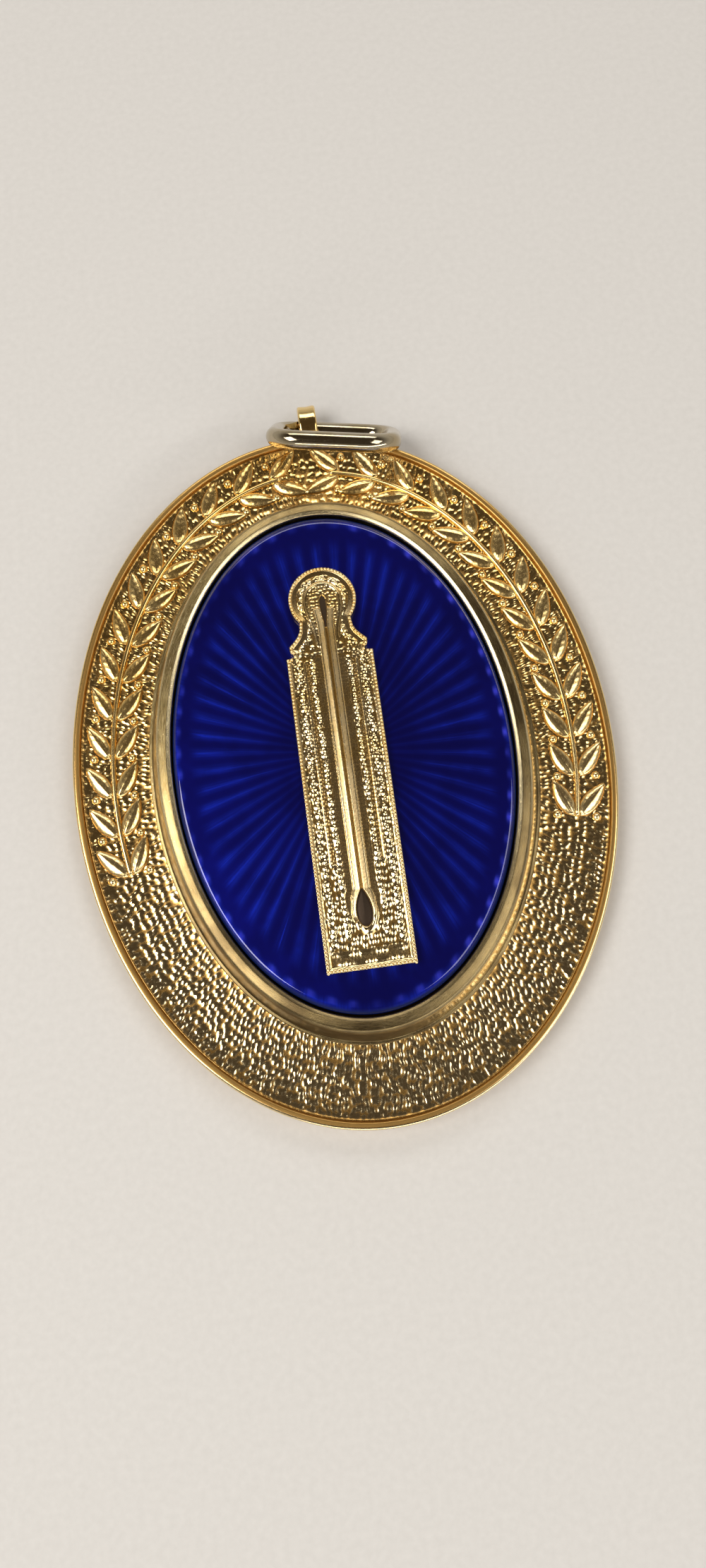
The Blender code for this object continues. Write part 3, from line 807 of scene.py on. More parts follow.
foot = RIM_HEIGHT - 0.62
bead_corner = (BEZEL_OUTER, foot + BEAD_TOP)
bead_inside = (BEZEL_OUTER - 0.4, foot + BEAD_TOP)
foot_bead = round_corner((BEZEL_OUTER, foot), bead_corner, bead_inside, BEAD_ROUNDING, 5)
crown = smooth_profile(
    [
        (BEZEL_OUTER - 0.42, foot + BEAD_TOP),
        (BEZEL_INNER + 2.58, foot + 0.62),
        (BEZEL_INNER + 2.20, BEZEL_CREST - 1.90),
        (BEZEL_INNER + 1.94, BEZEL_CREST - 1.00),
        (BEZEL_INNER + 1.78, BEZEL_CREST - 0.58),
        (BEZEL_INNER + 1.58, BEZEL_CREST - 0.32),
        (BEZEL_INNER + 1.36, BEZEL_CREST - 0.155),
        (BEZEL_INNER + 1.00, BEZEL_CREST - 0.08),
        (BEZEL_INNER + 0.64, BEZEL_CREST - 0.02),
        (BEZEL_INNER + 0.48, BEZEL_CREST),
        (BEZEL_INNER + 0.40, BEZEL_CREST - 0.02),
        (BEZEL_INNER + 0.10, BEZEL_CREST - 0.14),
        (BEZEL_INNER + 0.01, BEZEL_CREST - LIP_DROP),
        (BEZEL_INNER, BEZEL_CREST - 0.50),
    ]
)
profile = [(BEZEL_OUTER, foot)] + foot_bead + crown
profile += [(BEZEL_INNER, PLAQUE_BASE), (SEAT_RADIUS + GAP, PLAQUE_BASE), (SEAT_RADIUS + GAP, foot)]
bm = spin_oval(profile, closed=True)
points = read_points(bm)
from_lip = HALF_WIDTH - BEZEL_INNER - inset_of(points[:, 0], points[:, 1])
wall = [foot + BEAD_TOP, foot + 0.62, BEZEL_CREST - 0.9, BEZEL_CREST - 0.15]
# The outer wall is marked to be painted dark, a painted reflection.
mark_points(bm, "hollow", (from_lip > 0.8) * np.interp(points[:, 2], wall, [0, 1, 1, 0]))
# The crown's two edges are marked for painted highlights.
highlight_edges = np.interp(from_lip, [0.38, 0.50, 1.36, 1.48, 1.66, 1.80], [1.0, 0.0, 0.0, 0.6, 0.6, 0.0])
mark_points(bm, "painted_highlight", highlight_edges * (points[:, 2] > BEZEL_CREST - 0.7))
finish_piece(bm, "bezel_satin", satin_gold, "jewel", "satin_gold", "bezel_ring")

# %% [markdown]
# ## The enamel plaque
#
# A domed disc of enamel with a rounded shoulder, which draws a thin line of light. The dome is spun from
# points that follow it closely, because a gloss shows every flat. V on its map is set to the share of the
# radius, so that the rays can end at one line.

# %% Spin the dome
DOME_RISE = 0.85
DOME_EDGE = RIM_HEIGHT + 2.82
DOME_RINGS = 40
SHOULDER = (
    # inset from the plaque's edge, height over the dome's edge
    (0.56, 0.045),
    (0.50, 0.036),
    (0.44, 0.014),
    (0.38, -0.020),
    (0.24, -0.115),
    (0.08, -0.230),
    (0.02, -0.320),
)


def dome_height(x, y):
    """Height of the plaque's face above the back."""
    spread_out = (x / PLAQUE_HALF_WIDTH) ** 2 + (y / (PLAQUE_HALF_WIDTH + STRETCH)) ** 2
    return DOME_EDGE + DOME_RISE * (1 - spread_out)


radii = np.linspace(0, PLAQUE_HALF_WIDTH - 0.68, DOME_RINGS)
dome = [(radius, dome_height(radius, 0)) for radius in radii]
shoulder = [(PLAQUE_HALF_WIDTH - inset, DOME_EDGE + rise) for inset, rise in SHOULDER]
profile = [(0, PLAQUE_BASE), (PLAQUE_HALF_WIDTH - 0.02, PLAQUE_BASE)] + shoulder[::-1] + dome[::-1]
bm = spin_oval(profile, closed=False)
turn_map = bm.loops.layers.uv["turn"]
points = read_points(bm)
half_length = PLAQUE_HALF_WIDTH + STRETCH
outward = np.hypot(points[:, 0] / PLAQUE_HALF_WIDTH, points[:, 1] / half_length)
bm.verts.index_update()
for face in bm.faces:
    for loop in face.loops:
        loop[turn_map].uv.y = outward[loop.vert.index]
finish_piece(bm, "enamel_dome", cobalt_enamel, "jewel", "cobalt_enamel", "enamel_plaque")
print(f"enamel stands {max(points[:, 2]):.2f} mm above the back")

# %% [markdown]
# ## Laurel sprays
#
# The real band carries raised work between the two sides and the top. Here that relief is a pair of laurel
# branches. A cast leaf is a small cushion: its edge stands just above the ground, two lobes swell beside a
# raised midrib, and slanting veins cut into them. One flat grid, drawn to a point at both ends, makes a
# leaf. Its rim is then extruded down into the ground, so that no light shows under it.

# %% Shape one leaf
SPRAY_INSET = 4.6
SPRAY_START = math.radians(-16)
SPRAY_TOP_GAP = 2.4
LEAF_PITCH = 4.6
LEAF_LENGTH = 4.7
LEAF_HALF_WIDTH = 0.98
LEAF_SPREAD = math.radians(33)
LEAF_SIDE_OFFSET = 0.35
LEAF_EDGE_RISE = 0.16
LEAF_SWELL = 0.36
VEINS = 6
VEIN_DEPTH = 0.07
VEIN_WIDTH = 0.13
MIDRIB_RISE = 0.13
MIDRIB_WIDTH = 0.13
ROOT_HEIGHT = FIELD_FLOOR + 0.3


def leaf_shape(length_share, width_share):
    """How far along, across and up each point of a leaf lies, and how hollow it is.

    Shares run from 0 to 1 along the leaf and from -1 to 1 across it.
    """
    outline = np.sin(np.pi * np.clip(length_share, 0, 1) ** 0.82) ** 0.72
    along = length_share * LEAF_LENGTH
    across = width_share * LEAF_HALF_WIDTH * outline
    side = np.abs(width_share)
    lobes = (1 - side**2.4) * (0.72 + 0.28 * np.cos((side - 0.5) * 2.6))
    rib = MIDRIB_RISE * np.exp(-((width_share / MIDRIB_WIDTH) ** 2)) * (1 - 0.6 * length_share)
    phase = np.mod(length_share * VEINS - side * 0.9, 1.0)
    cut = np.exp(-(((phase - 0.5) / VEIN_WIDTH) ** 2))
    veins = VEIN_DEPTH * cut * np.clip(side * 3, 0, 1) * (1 - side**4)
    rise = LEAF_EDGE_RISE + LEAF_SWELL * lobes * outline**0.5 + rib - veins
    # The last value paints veins and leaf edges browner: partly patina, partly painted shade.
    return along, across, rise, np.clip(veins / VEIN_DEPTH + side**6, 0, 1)


sample = leaf_shape(np.linspace(0, 1, 50), np.zeros(50))
print(f"a leaf is {LEAF_LENGTH} mm long and its midrib stands {sample[2].max():.2f} mm above the ground")


# %% Set out the branch
def branch_points(pitch):
    """Places one pitch apart along the right-hand branch, each with its direction of growth."""
    half_width, half_length = HALF_WIDTH - SPRAY_INSET, HALF_LENGTH - SPRAY_INSET
    angles = np.arange(SPRAY_START, np.pi / 2, math.radians(0.05))
    track = np.column_stack([half_width * np.cos(angles), half_length * np.sin(angles)])
    track = track[track[:, 0] > SPRAY_TOP_GAP]
    walked = np.concatenate([[0], np.cumsum(np.hypot(*np.diff(track, axis=0).T))])
    stops = np.arange(0, walked[-1], pitch)
    places = np.column_stack([np.interp(stops, walked, track[:, axis]) for axis in (0, 1)])
    ahead = np.column_stack([np.interp(stops + 0.05, walked, track[:, axis]) for axis in (0, 1)])
    growth = ahead - places
    return places, growth / np.maximum(np.hypot(*growth.T), 1e-9)[:, None]


def ground_under(x, y):
    """Height of the border's floor under a point of the oval."""
    return channel_height(inset_of(x, y))


print(len(branch_points(LEAF_PITCH)[0]), "pairs of leaves on each branch")

# %% Lay a leaf and a berry
BERRY_RADIUS = 0.52
BERRY_OFFSET = 2.2


def set_down(bm, verts):
    """Extrudes the open rim of a small relief shape down into the plate and closes it below."""
    edges = list({edge for vert in verts for edge in vert.link_edges if edge.is_boundary})
    grown = bmesh.ops.extrude_edge_only(bm, edges=edges)["geom"]
    for item in grown:
        if isinstance(item, bmesh.types.BMVert):
            item.co.z = ROOT_HEIGHT
    rim = [item for item in grown if isinstance(item, bmesh.types.BMEdge) and item.is_boundary]
    bmesh.ops.holes_fill(bm, edges=rim)


def add_leaf(bm, hollow, root, growth, side):
    """Lays one leaf on the border, turned away from the branch."""
    made = bmesh.ops.create_grid(bm, x_segments=18, y_segments=10, size=0.5)["verts"]
    flat = np.array([vert.co[:] for vert in made])
    along, across, rise, vein = leaf_shape(flat[:, 0] + 0.5, flat[:, 1] * 2)
    outward = np.array([growth[1], -growth[0]])
    cosine, sine = math.cos(-side * LEAF_SPREAD), math.sin(-side * LEAF_SPREAD)
    forward = np.array([cosine * growth[0] - sine * growth[1], sine * growth[0] + cosine * growth[1]])
    sideways = np.array([forward[1], -forward[0]])
    start = root + outward * side * LEAF_SIDE_OFFSET
    places = start + np.outer(along, forward) + np.outer(across, sideways)
    heights = ground_under(*places.T) + rise
    for vert, spot, height, depth in zip(made, places.tolist(), heights.tolist(), vein.tolist()):
        vert.co = (*spot, height)
        vert[hollow] = depth
    bmesh.ops.remove_doubles(bm, verts=made, dist=CLOSE_POINT)
    set_down(bm, [vert for vert in made if vert.is_valid])


def add_berry(bm, root, growth, side):
    """A small round berry, sunk to about half its height."""
    outward = np.array([growth[1], -growth[0]])
    spot = root + outward * side * BERRY_OFFSET
    floor = float(ground_under(spot[:1], spot[1:])[0])
    place = Matrix.Translation((*spot, floor)) @ Matrix.Diagonal((1, 1, 0.85, 1))
    bmesh.ops.create_icosphere(bm, subdivisions=2, radius=BERRY_RADIUS, matrix=place)


print(f"a berry is {2 * BERRY_RADIUS} mm across, {BERRY_OFFSET} mm from the stem")

# %% Grow the leaves and berries
bm = bmesh.new()
hollow = bm.verts.layers.float.new("hollow")
places, growths = branch_points(LEAF_PITCH)
for root, growth in zip(places, growths):
    for side in (-1, 1):
        add_leaf(bm, hollow, root, growth, side)
        add_berry(bm, root, growth, side)
print(len(bm.faces), "faces in the leaves and berries of one branch")

# %% Draw the stem and mirror the branch
STEM_RADIUS = 0.34
STEM_STEP = 0.5

stem, growth = branch_points(STEM_STEP)
strip = bmesh.ops.create_grid(bm, x_segments=len(stem) - 1, y_segments=6, size=0.5)["verts"]
flat = np.array([vert.co[:] for vert in strip])
index = np.rint((flat[:, 0] + 0.5) * (len(stem) - 1)).astype(int)
across = flat[:, 1] * 2
normal = np.column_stack([growth[index, 1], -growth[index, 0]])
stem_places = stem[index] + normal * (across * STEM_RADIUS)[:, None]
rise = STEM_RADIUS * np.sqrt(np.clip(1 - across**2, 0, 1)) + 0.08
heights = ground_under(*stem_places.T) + rise
for vert, spot, height in zip(strip, stem_places.tolist(), heights.tolist()):
    vert.co = (*spot, height)
set_down(bm, strip)
right_half = bm.verts[:] + bm.edges[:] + bm.faces[:]
bmesh.ops.mirror(bm, geom=right_half, axis="X", merge_dist=-1)
mark_points(bm, "frost", 0.35)
finish_piece(bm, "laurel_sprays", old_gilt, "jewel", "old_gilt", "border_plate", merge=False)
print(len(places) * 4, "leaves and as many berries")

# %% [markdown]
# ## The suspension eye
#
# A strap of metal bent into an upright loop and soldered to the plate's top edge. Its hole runs from side
# to side, so that the ring can swing over the face and back. It is turned about X from the strap's
# cross-section, whose outer corners are rounded by wear, and then made a little longer than it is high.

# %% Turn the eye
EYE_X = 1.2
EYE_HALF_WIDTH = 1.1
EYE_BAND = 0.72
EYE_HOLE_HALF_HEIGHT = 1.5
EYE_HOLE_HALF_LENGTH = 1.9
EYE_CENTRE = (EYE_X, HALF_LENGTH + 1.75, EYE_HOLE_HALF_HEIGHT + EYE_BAND)
EYE_ROUNDINGS = (0.14, 0.14, 0.3, 0.3)
EYE_GROOVE = 0.07
inner, outer = EYE_HOLE_HALF_HEIGHT, EYE_HOLE_HALF_HEIGHT + EYE_BAND
corners = [(-EYE_HALF_WIDTH, inner), (EYE_HALF_WIDTH, inner)]
corners += [(EYE_HALF_WIDTH, outer), (-EYE_HALF_WIDTH, outer)]
section = []
for index, (corner, rounding) in enumerate(zip(corners, EYE_ROUNDINGS)):
    section += round_corner(corners[index - 1], corner, corners[(index + 1) % 4], rounding, 5)
section.append((0, outer - EYE_GROOVE))
section.sort(key=lambda point: math.atan2(point[1] - (inner + outer) / 2, point[0]))

bm = bmesh.new()
verts = [bm.verts.new((across, radius, 0)) for across, radius in section]
edges = [bm.edges.new(pair) for pair in zip(verts, verts[1:] + verts[:1])]
bmesh.ops.spin(
    bm, geom=verts + edges, cent=(0, 0, 0), axis=(1, 0, 0), angle=2 * math.pi, steps=96, use_merge=True
)
points = read_points(bm)
reach = EYE_HOLE_HALF_LENGTH - EYE_HOLE_HALF_HEIGHT
points[:, 1] += reach * points[:, 1] / np.hypot(points[:, 1], points[:, 2])
write_points(bm, points + np.array(EYE_CENTRE))
finish_piece(bm, "suspension_eye", old_gilt, "jewel", "old_gilt", "border_plate")

# %% [markdown]
# ## The suspension ring
#
# The ring is round wire bent into a rectangle with round corners and closed. Here the wire's circle is
# carried along that path: it is spun a quarter turn at each corner and extruded straight along each side,
# and the last circle meets the first. The ring lies on its own hinge line, so it is made flat and then
# turned as one.

# %% Set out the wire's path
RING_WIRE = 1.1
RING_HALF = 8.0 - RING_WIRE
RING_ACROSS = 11.6 - 2 * RING_WIRE
RING_CORNER = 3.0

sides = [2 * (RING_HALF - RING_CORNER), RING_ACROSS - 2 * RING_CORNER] * 2
middles = [
    (RING_HALF - RING_CORNER, RING_CORNER),
    (RING_HALF - RING_CORNER, RING_ACROSS - RING_CORNER),
    (RING_CORNER - RING_HALF, RING_ACROSS - RING_CORNER),
    (RING_CORNER - RING_HALF, RING_CORNER),
]
directions = [(1, 0), (0, 1), (-1, 0), (0, -1)]
print(f"the wire is {sum(sides) + 2 * math.pi * RING_CORNER:.1f} mm long")

# %% Draw the wire round its path
WIRE_SEGMENTS = 28
STEPS_ON_SIDE = 6
STEPS_IN_CORNER = 14

bm = bmesh.new()
circle = bmesh.ops.create_circle(bm, segments=WIRE_SEGMENTS, radius=RING_WIRE - 0.01)["verts"]
stand = Matrix.Translation((RING_CORNER - RING_HALF, 0, 0)) @ Matrix.Rotation(math.pi / 2, 4, "Y")
bmesh.ops.transform(bm, matrix=stand, verts=circle)
loop = list({edge for vert in circle for edge in vert.link_edges})
for length, middle, direction in zip(sides, middles, directions):
    for _ in range(STEPS_ON_SIDE):
        grown = bmesh.ops.extrude_edge_only(bm, edges=loop)["geom"]
        ends = [item for item in grown if isinstance(item, bmesh.types.BMVert)]
        step = Vector((*direction, 0)) * length / STEPS_ON_SIDE
        bmesh.ops.translate(bm, verts=ends, vec=step)
        loop = [item for item in grown if isinstance(item, bmesh.types.BMEdge) and item.is_boundary]
    ends = list({vert for edge in loop for vert in edge.verts})
    last = bmesh.ops.spin(
        bm,
        geom=ends + loop,
        cent=(*middle, 0),
        axis=(0, 0, 1),
        angle=math.pi / 2,
        steps=STEPS_IN_CORNER,
        use_merge=False,
    )["geom_last"]
    loop = [item for item in last if isinstance(item, bmesh.types.BMEdge)]
bmesh.ops.remove_doubles(bm, verts=bm.verts[:], dist=CLOSE_POINT)
print(len(bm.verts), "points on the wire")

# %% Hang the ring on its hinge line
RING_LEAN = math.radians(53)
RING_TOUCH_X = 4.4
RING_CLEARANCE = 1.16
RING_AXIS_HEIGHT = EYE_CENTRE[2] - 0.12

rise = math.sqrt(1 - (RING_TOUCH_X / HALF_WIDTH) ** 2)
yaw = math.atan(-HALF_LENGTH * RING_TOUCH_X / (HALF_WIDTH**2 * rise))
hinge = Vector(
    (
        RING_TOUCH_X - math.sin(yaw) * RING_CLEARANCE,
        HALF_LENGTH * rise + math.cos(yaw) * RING_CLEARANCE,
        RING_AXIS_HEIGHT,
    )
)
lean = Matrix.Rotation(yaw, 4, "Z") @ Matrix.Rotation(math.pi - RING_LEAN, 4, "X")
bmesh.ops.transform(bm, matrix=Matrix.Translation(hinge) @ lean, verts=bm.verts[:])
finish_piece(bm, "wire_ring", ring_gold, "ring", "ring_gold", "suspension_ring")
print("ring's hinge line passes", tuple(round(value, 2) for value in hinge))

# %% [markdown]
# ## The plumb rule
#
# The emblem is one small casting: a board with a round head, a milled and raised border, pebbled ground,
# two rails that hold the plumb line between them, and a teardrop bob in its hollow. It could be modelled
# ridge by ridge, but a casting is really one skin of heights, so here a fine grid is cut to the board's
# outline and each of its points is raised to the height that the casting has there. The grid's rows are
# placed so that every corner of the outline has a row of its own.

# %% Draw the board's outline
RULE_HALF_WIDTH = 4.87
RULE_BOTTOM = -23.85
RULE_SHOULDER = 11.2
HEAD_CENTRE = 17.95
HEAD_RADIUS = 3.85
NECK = 2.9
RULE_EARS = (
    # half width, height on the board
    (RULE_HALF_WIDTH, RULE_BOTTOM),
    (RULE_HALF_WIDTH, RULE_SHOULDER),
    (4.02, RULE_SHOULDER + 0.10),
    (4.02, RULE_SHOULDER + 0.45),
    (4.37, RULE_SHOULDER + 0.80),
    (4.40, RULE_SHOULDER + 1.40),
    (3.87, RULE_SHOULDER + 1.90),
    (3.35, RULE_SHOULDER + 2.50),
    (3.05, RULE_SHOULDER + 3.10),
)


def round_head(radius, angles):
    """Points on an arc about the head's centre."""
    return np.column_stack([radius * np.cos(angles), HEAD_CENTRE + radius * np.sin(angles)])


head = round_head(HEAD_RADIUS, np.linspace(-math.acos(NECK / HEAD_RADIUS), np.pi / 2, 60))
outline = np.vstack([np.array(RULE_EARS), head])
board_corners = np.vstack([[0, RULE_BOTTOM], outline])
print(f"rule is {2 * RULE_HALF_WIDTH:.2f} mm wide and {outline[-1, 1] - outline[0, 1]:.2f} mm long")


# %% Measure distances from the edge
def edge_distance(x, y):
    """Distance in from the nearest edge of the board."""
    best = np.full(len(x), np.inf)
    for start, end in zip(board_corners, board_corners[1:]):
        side = end - start
        from_x, from_y = np.abs(x) - start[0], y - start[1]
        share = np.clip((from_x * side[0] + from_y * side[1]) / np.hypot(*side) ** 2, 0, 1)
        best = np.minimum(best, np.hypot(from_x - share * side[0], from_y - share * side[1]))
    return best


def ramp(value, low, high):
    """0 below low, 1 above high, with a soft passage between."""
    share = np.clip((value - low) / (high - low), 0, 1)
    return share * share * (3 - 2 * share)


def ridge(value, middle, half_width):
    return np.exp(-(((value - middle) / half_width) ** 2))


print("the middle of the board is", edge_distance(np.zeros(1), np.zeros(1)).round(2), "mm from its edge")

# %% [markdown]
# ## The skin of the casting
#
# The heights are built up in the order in which a die cutter would work, one form laid over another. Each
# form covers a share of the skin, from 0 to 1, and gives it a new height. Two more values are kept for the
# finish: "hollow" is high wherever polish can't reach, where the colour is painted browner, partly as patina
# and partly as painted shade, and near 2 where it is painted near black: painted shade in the slot and the
# hollow, a painted dark reflection on the bob. "frost" is high where the mould's sand has left the metal
# matt.

# %% Start the skin
GROUND = 0.58
BAND = 0.54
BORDER_WIDTH = 0.34
PEBBLE_WRAP = 4096
PEBBLE_SHIFT = (30, 40)


def between(value, low, high, soft=0.04):
    """1 between low and high, 0 outside them."""
    return ramp(value, low - soft, low + soft) * (1 - ramp(value, high - soft, high + soft))


class Skin:
    """Points of the casting's face, with the height, hollowness and frost of each."""

    def __init__(self, x, y):
        self.x, self.y = x, y
        self.across = np.abs(x)
        self.side = RULE_HALF_WIDTH - self.across
        self.foot = y - RULE_BOTTOM
        self.height, self.hollow, self.frost = np.zeros((3, len(x)))
        self.small = np.clip(self.grains(0.36, 0.42, 13, 0.7, 0.36), 0, 1)

    def grains(self, cell_across, cell_along, seed, bulge=1.0, smallest=0.46):
        """Heights of grains whose cells are given in millimetres across and along the board."""
        x, y = self.x + PEBBLE_SHIFT[0], self.y + PEBBLE_SHIFT[1]
        return grain_heights(x, y, cell_across, cell_along, PEBBLE_WRAP, seed, bulge, smallest)

    def lay(self, share, height, hollow, frost=0.0):
        """Lays a form over a share of the skin."""
        self.height = self.height + share * (height - self.height)
        self.hollow = self.hollow + share * (hollow - self.hollow)
        self.frost = self.frost + share * (frost - self.frost)


sample = Skin(np.linspace(-4, 4, 500), np.zeros(500))
print(f"small grains cover {(sample.small > 0).mean():.0%} of a line across the board")

# %% [markdown]
# ## Ground, side bands and foot
#
# The ground is pebbled, with larger pebbles in the head. Beside the rails' bands a fine ridge runs down
# each long side and turns in at the foot, and two rows of dashes cross the foot. The dashes are a wave
# along the row, bent a little so that no two are the same.

# %% Lay the ground, the side bands and the foot
HEAD_PEBBLES = (11.2, 12.2)
DASH_ROWS = (0.82, 1.75)
DASH_PITCH = 1.15


def lay_ground(skin):
    """Pebbles all over, larger ones in the head."""
    pebbles = np.clip(skin.grains(0.60, 0.74, 11, 0.65, 0.38), 0, 1)
    large = np.clip(skin.grains(0.86, 0.88, 17, 0.65, 0.38), 0, 1)
    pebbles += ramp(skin.y, *HEAD_PEBBLES) * (1.2 * large - pebbles)
    skin.lay(1, GROUND - 0.02 + 0.085 * pebbles, np.clip(0.9 - pebbles / 0.45, 0, 1))


def lay_side_bands(skin):
    """A sunken band down each side, with a fine ridge at its edge and across its end."""
    shaft = (1 - ramp(skin.y, 10.3, 10.8)) * ramp(skin.y, -12.7, -12.5)
    skin.lay(between(skin.side, 1.75, 2.6) * shaft, BAND + 0.05 * skin.small, 0.9 - 0.5 * skin.small)
    skin.lay(ridge(skin.side, 1.92, 0.10) * shaft, GROUND + 0.05, 0.0)
    skin.lay(between(skin.side, 1.88, 2.9) * ridge(skin.y, -12.6, 0.14), GROUND + 0.05, 0.0)


def lay_foot(skin):
    """Two rows of uneven dashes across a smooth foot."""
    x = skin.x
    first, second = DASH_ROWS
    offset = np.where(np.abs(skin.foot - first) < np.abs(skin.foot - second), 0.0, 0.4)
    bend = 0.32 * np.sin(x * 2.3 + 9 * offset)
    dashes = 0.5 + 0.5 * np.cos(2 * np.pi * (x / DASH_PITCH + bend + offset))
    in_foot = between(skin.foot, BORDER_WIDTH, 2.15) * ramp(skin.side, 0.75, 0.95)
    skin.lay(in_foot, BAND + 0.015 * skin.small, 0.7 - 0.3 * skin.small)
    rows = np.clip(ridge(skin.foot, first, 0.22) + ridge(skin.foot, second, 0.24), 0, 1)
    skin.lay(rows * ramp(skin.side, 0.8, 1.0) * dashes, BAND + 0.10, 0.0)


print("dashes stand", DASH_ROWS, "mm above the board's foot")

# %% [markdown]
# ## Studs and arch
#
# Rows of blunt studs stand along both sides of the board and in an arc round the head. A light strikes each
# on one flank, so their tops lie to one side. An arched panel fills the head, and its legs run down to the
# rails' ends.

# %% Set out the studs
STUD_SEED = 23
STUD_SQUASH = 1.2
STUD_SHARPNESS = 1.15
STUD_FULL_RADIUS = 0.38
STUD_ARC_RADIUS = 2.48
NECK_STUDS = [(1.80, 15.2), (1.85, 14.3), (2.25, 13.3), (2.95, 12.4), (3.45, 11.7)]


def along_line(line, pitch, random):
    """Uneven steps along a line of corners."""
    line = np.array(line, dtype=float)
    walked = np.concatenate([[0], np.cumsum(np.hypot(*np.diff(line, axis=0).T))])
    stops = np.arange(pitch / 2, walked[-1], pitch)
    stops += (random.random(len(stops)) - 0.5) * pitch * 0.4
    return np.column_stack([np.interp(stops, walked, line[:, axis]) for axis in (0, 1)])


arc = round_head(STUD_ARC_RADIUS, np.radians(np.arange(90, -38, -4)))
STUD_LINES = (
    # corners of the line on one side, pitch, smallest and largest radius
    ([(RULE_HALF_WIDTH - 1.22, 10.6), (RULE_HALF_WIDTH - 1.22, -20.9)], 0.74, 0.24, 0.42),
    ([(RULE_HALF_WIDTH - 2.78, 10.4), (RULE_HALF_WIDTH - 2.78, -20.4)], 0.66, 0.24, 0.38),
    (np.vstack([arc, NECK_STUDS]), 0.74, 0.28, 0.46),
)
random = np.random.default_rng(STUD_SEED)
studs = []
for line, pitch, smallest, largest in STUD_LINES:
    for mirror in (-1, 1):
        for spot in along_line(line, pitch, random):
            spot += random.normal(0, 0.05, 2)
            radius = smallest + (largest - smallest) * random.random()
            studs.append((mirror * spot[0], spot[1], radius, random.choice([-0.45, 0.45, 0.5])))
print(len(studs), "studs on the board")

# %% Lay the studs and the arch
ARCH_START = (12.2, 13.0)


def stud_heights(x, y):
    """Heights from 0 to 1 of single blunt cones whose tops lie to one side, so that one flank is broad."""
    height = np.zeros_like(x)
    for middle_x, middle_y, radius, top in studs:
        near_row = np.abs(y - middle_y) < STUD_SQUASH * radius
        near = np.flatnonzero(near_row & (np.abs(x - middle_x) < radius))
        across = (x[near] - middle_x) / radius - top
        away = np.hypot(across, (y[near] - middle_y) / radius / STUD_SQUASH) + 1e-9
        aim = top * across / away
        reach = np.sqrt(aim**2 + 1 - top**2) - aim
        cone = (1 - (away / reach) ** STUD_SHARPNESS) * radius / STUD_FULL_RADIUS
        height[near] = np.maximum(height[near], cone)
    return height


def lay_studs_and_arch(skin):
    """The arched panel of the head with its ridge, and the studs between it and the border."""
    x, y = skin.x, skin.y
    leg = 1.92 - 0.78 * ramp(-y, -17.6, -13.2)
    arch = np.where(y > HEAD_CENTRE, np.hypot(x, y - HEAD_CENTRE), skin.across)
    panel = (1 - ramp(arch, leg - 0.05, leg + 0.05)) * ramp(y, *ARCH_START)
    skin.lay(panel, BAND + 0.055 * skin.small * ramp(arch, 0.3, 0.8), 0.8 - 0.8 * skin.small)
    stud = stud_heights(x, y)
    skin.lay(ramp(stud, 0.0, 0.12), GROUND - 0.04 + 0.155 * stud, 0.0)
    skin.lay(between(arch, leg + 0.15, leg + 0.38) * ramp(y, 12.6, 13.4), BAND, 0.7)
    skin.lay(ridge(arch, leg, 0.17) * ramp(y, *ARCH_START), BAND + 0.10, 0.0)


print("highest stud:", stud_heights(*np.array([[stud[0], stud[1]] for stud in studs]).T).max().round(2))

# %% [markdown]
# ## Rails, line, bob and border
#
# Two rails leave a slot between them, and the plumb line runs down its middle to a teardrop bob in a hollow
# of the same form. Each rail slopes away from the slot, is frosted on top and has a bright lip along both
# edges. Last comes the raised border, which falls to the ground in a short slope.

# %% Measure from the bob and the slot
RAIL_TOP = 17.0
SLOT_TOP = 18.5
LINE_TOP = 14.6
BOB_MIDDLE = -17.75
BOB_RADIUS = 0.80
BOB_ABOVE = 2.45
BOB_BELOW = 1.50


def outside_bob(x, y, margin=0.0):
    """Distance out from a teardrop with its point upwards, negative inside it."""
    up = np.clip((y - BOB_MIDDLE) / BOB_ABOVE, 0, 1)
    upper = np.abs(x) - BOB_RADIUS * np.cos(up * np.pi / 2) ** 0.9
    upper = np.where(up < 1, upper, np.inf)
    lower = (np.hypot(x / BOB_RADIUS, (y - BOB_MIDDLE) / BOB_BELOW) - 1) * BOB_RADIUS
    return np.where(y > BOB_MIDDLE, upper, lower) - margin


def slot_half_width(y):
    """Half the width of the slot, which opens toward the top and closes there."""
    return (0.15 + 0.22 * ramp(y, LINE_TOP, RAIL_TOP)) * np.sqrt(np.clip((SLOT_TOP - y) / 0.5, 0, 1))


print(f"the bob is {2 * BOB_RADIUS} mm wide and {BOB_ABOVE + BOB_BELOW} mm long")

# %% Lay the rails and the slot
RAIL_WIDTH = 0.74
RAIL_RISE = 0.20
BAND_WIDTH = 0.86
LINE_RADIUS = 0.10


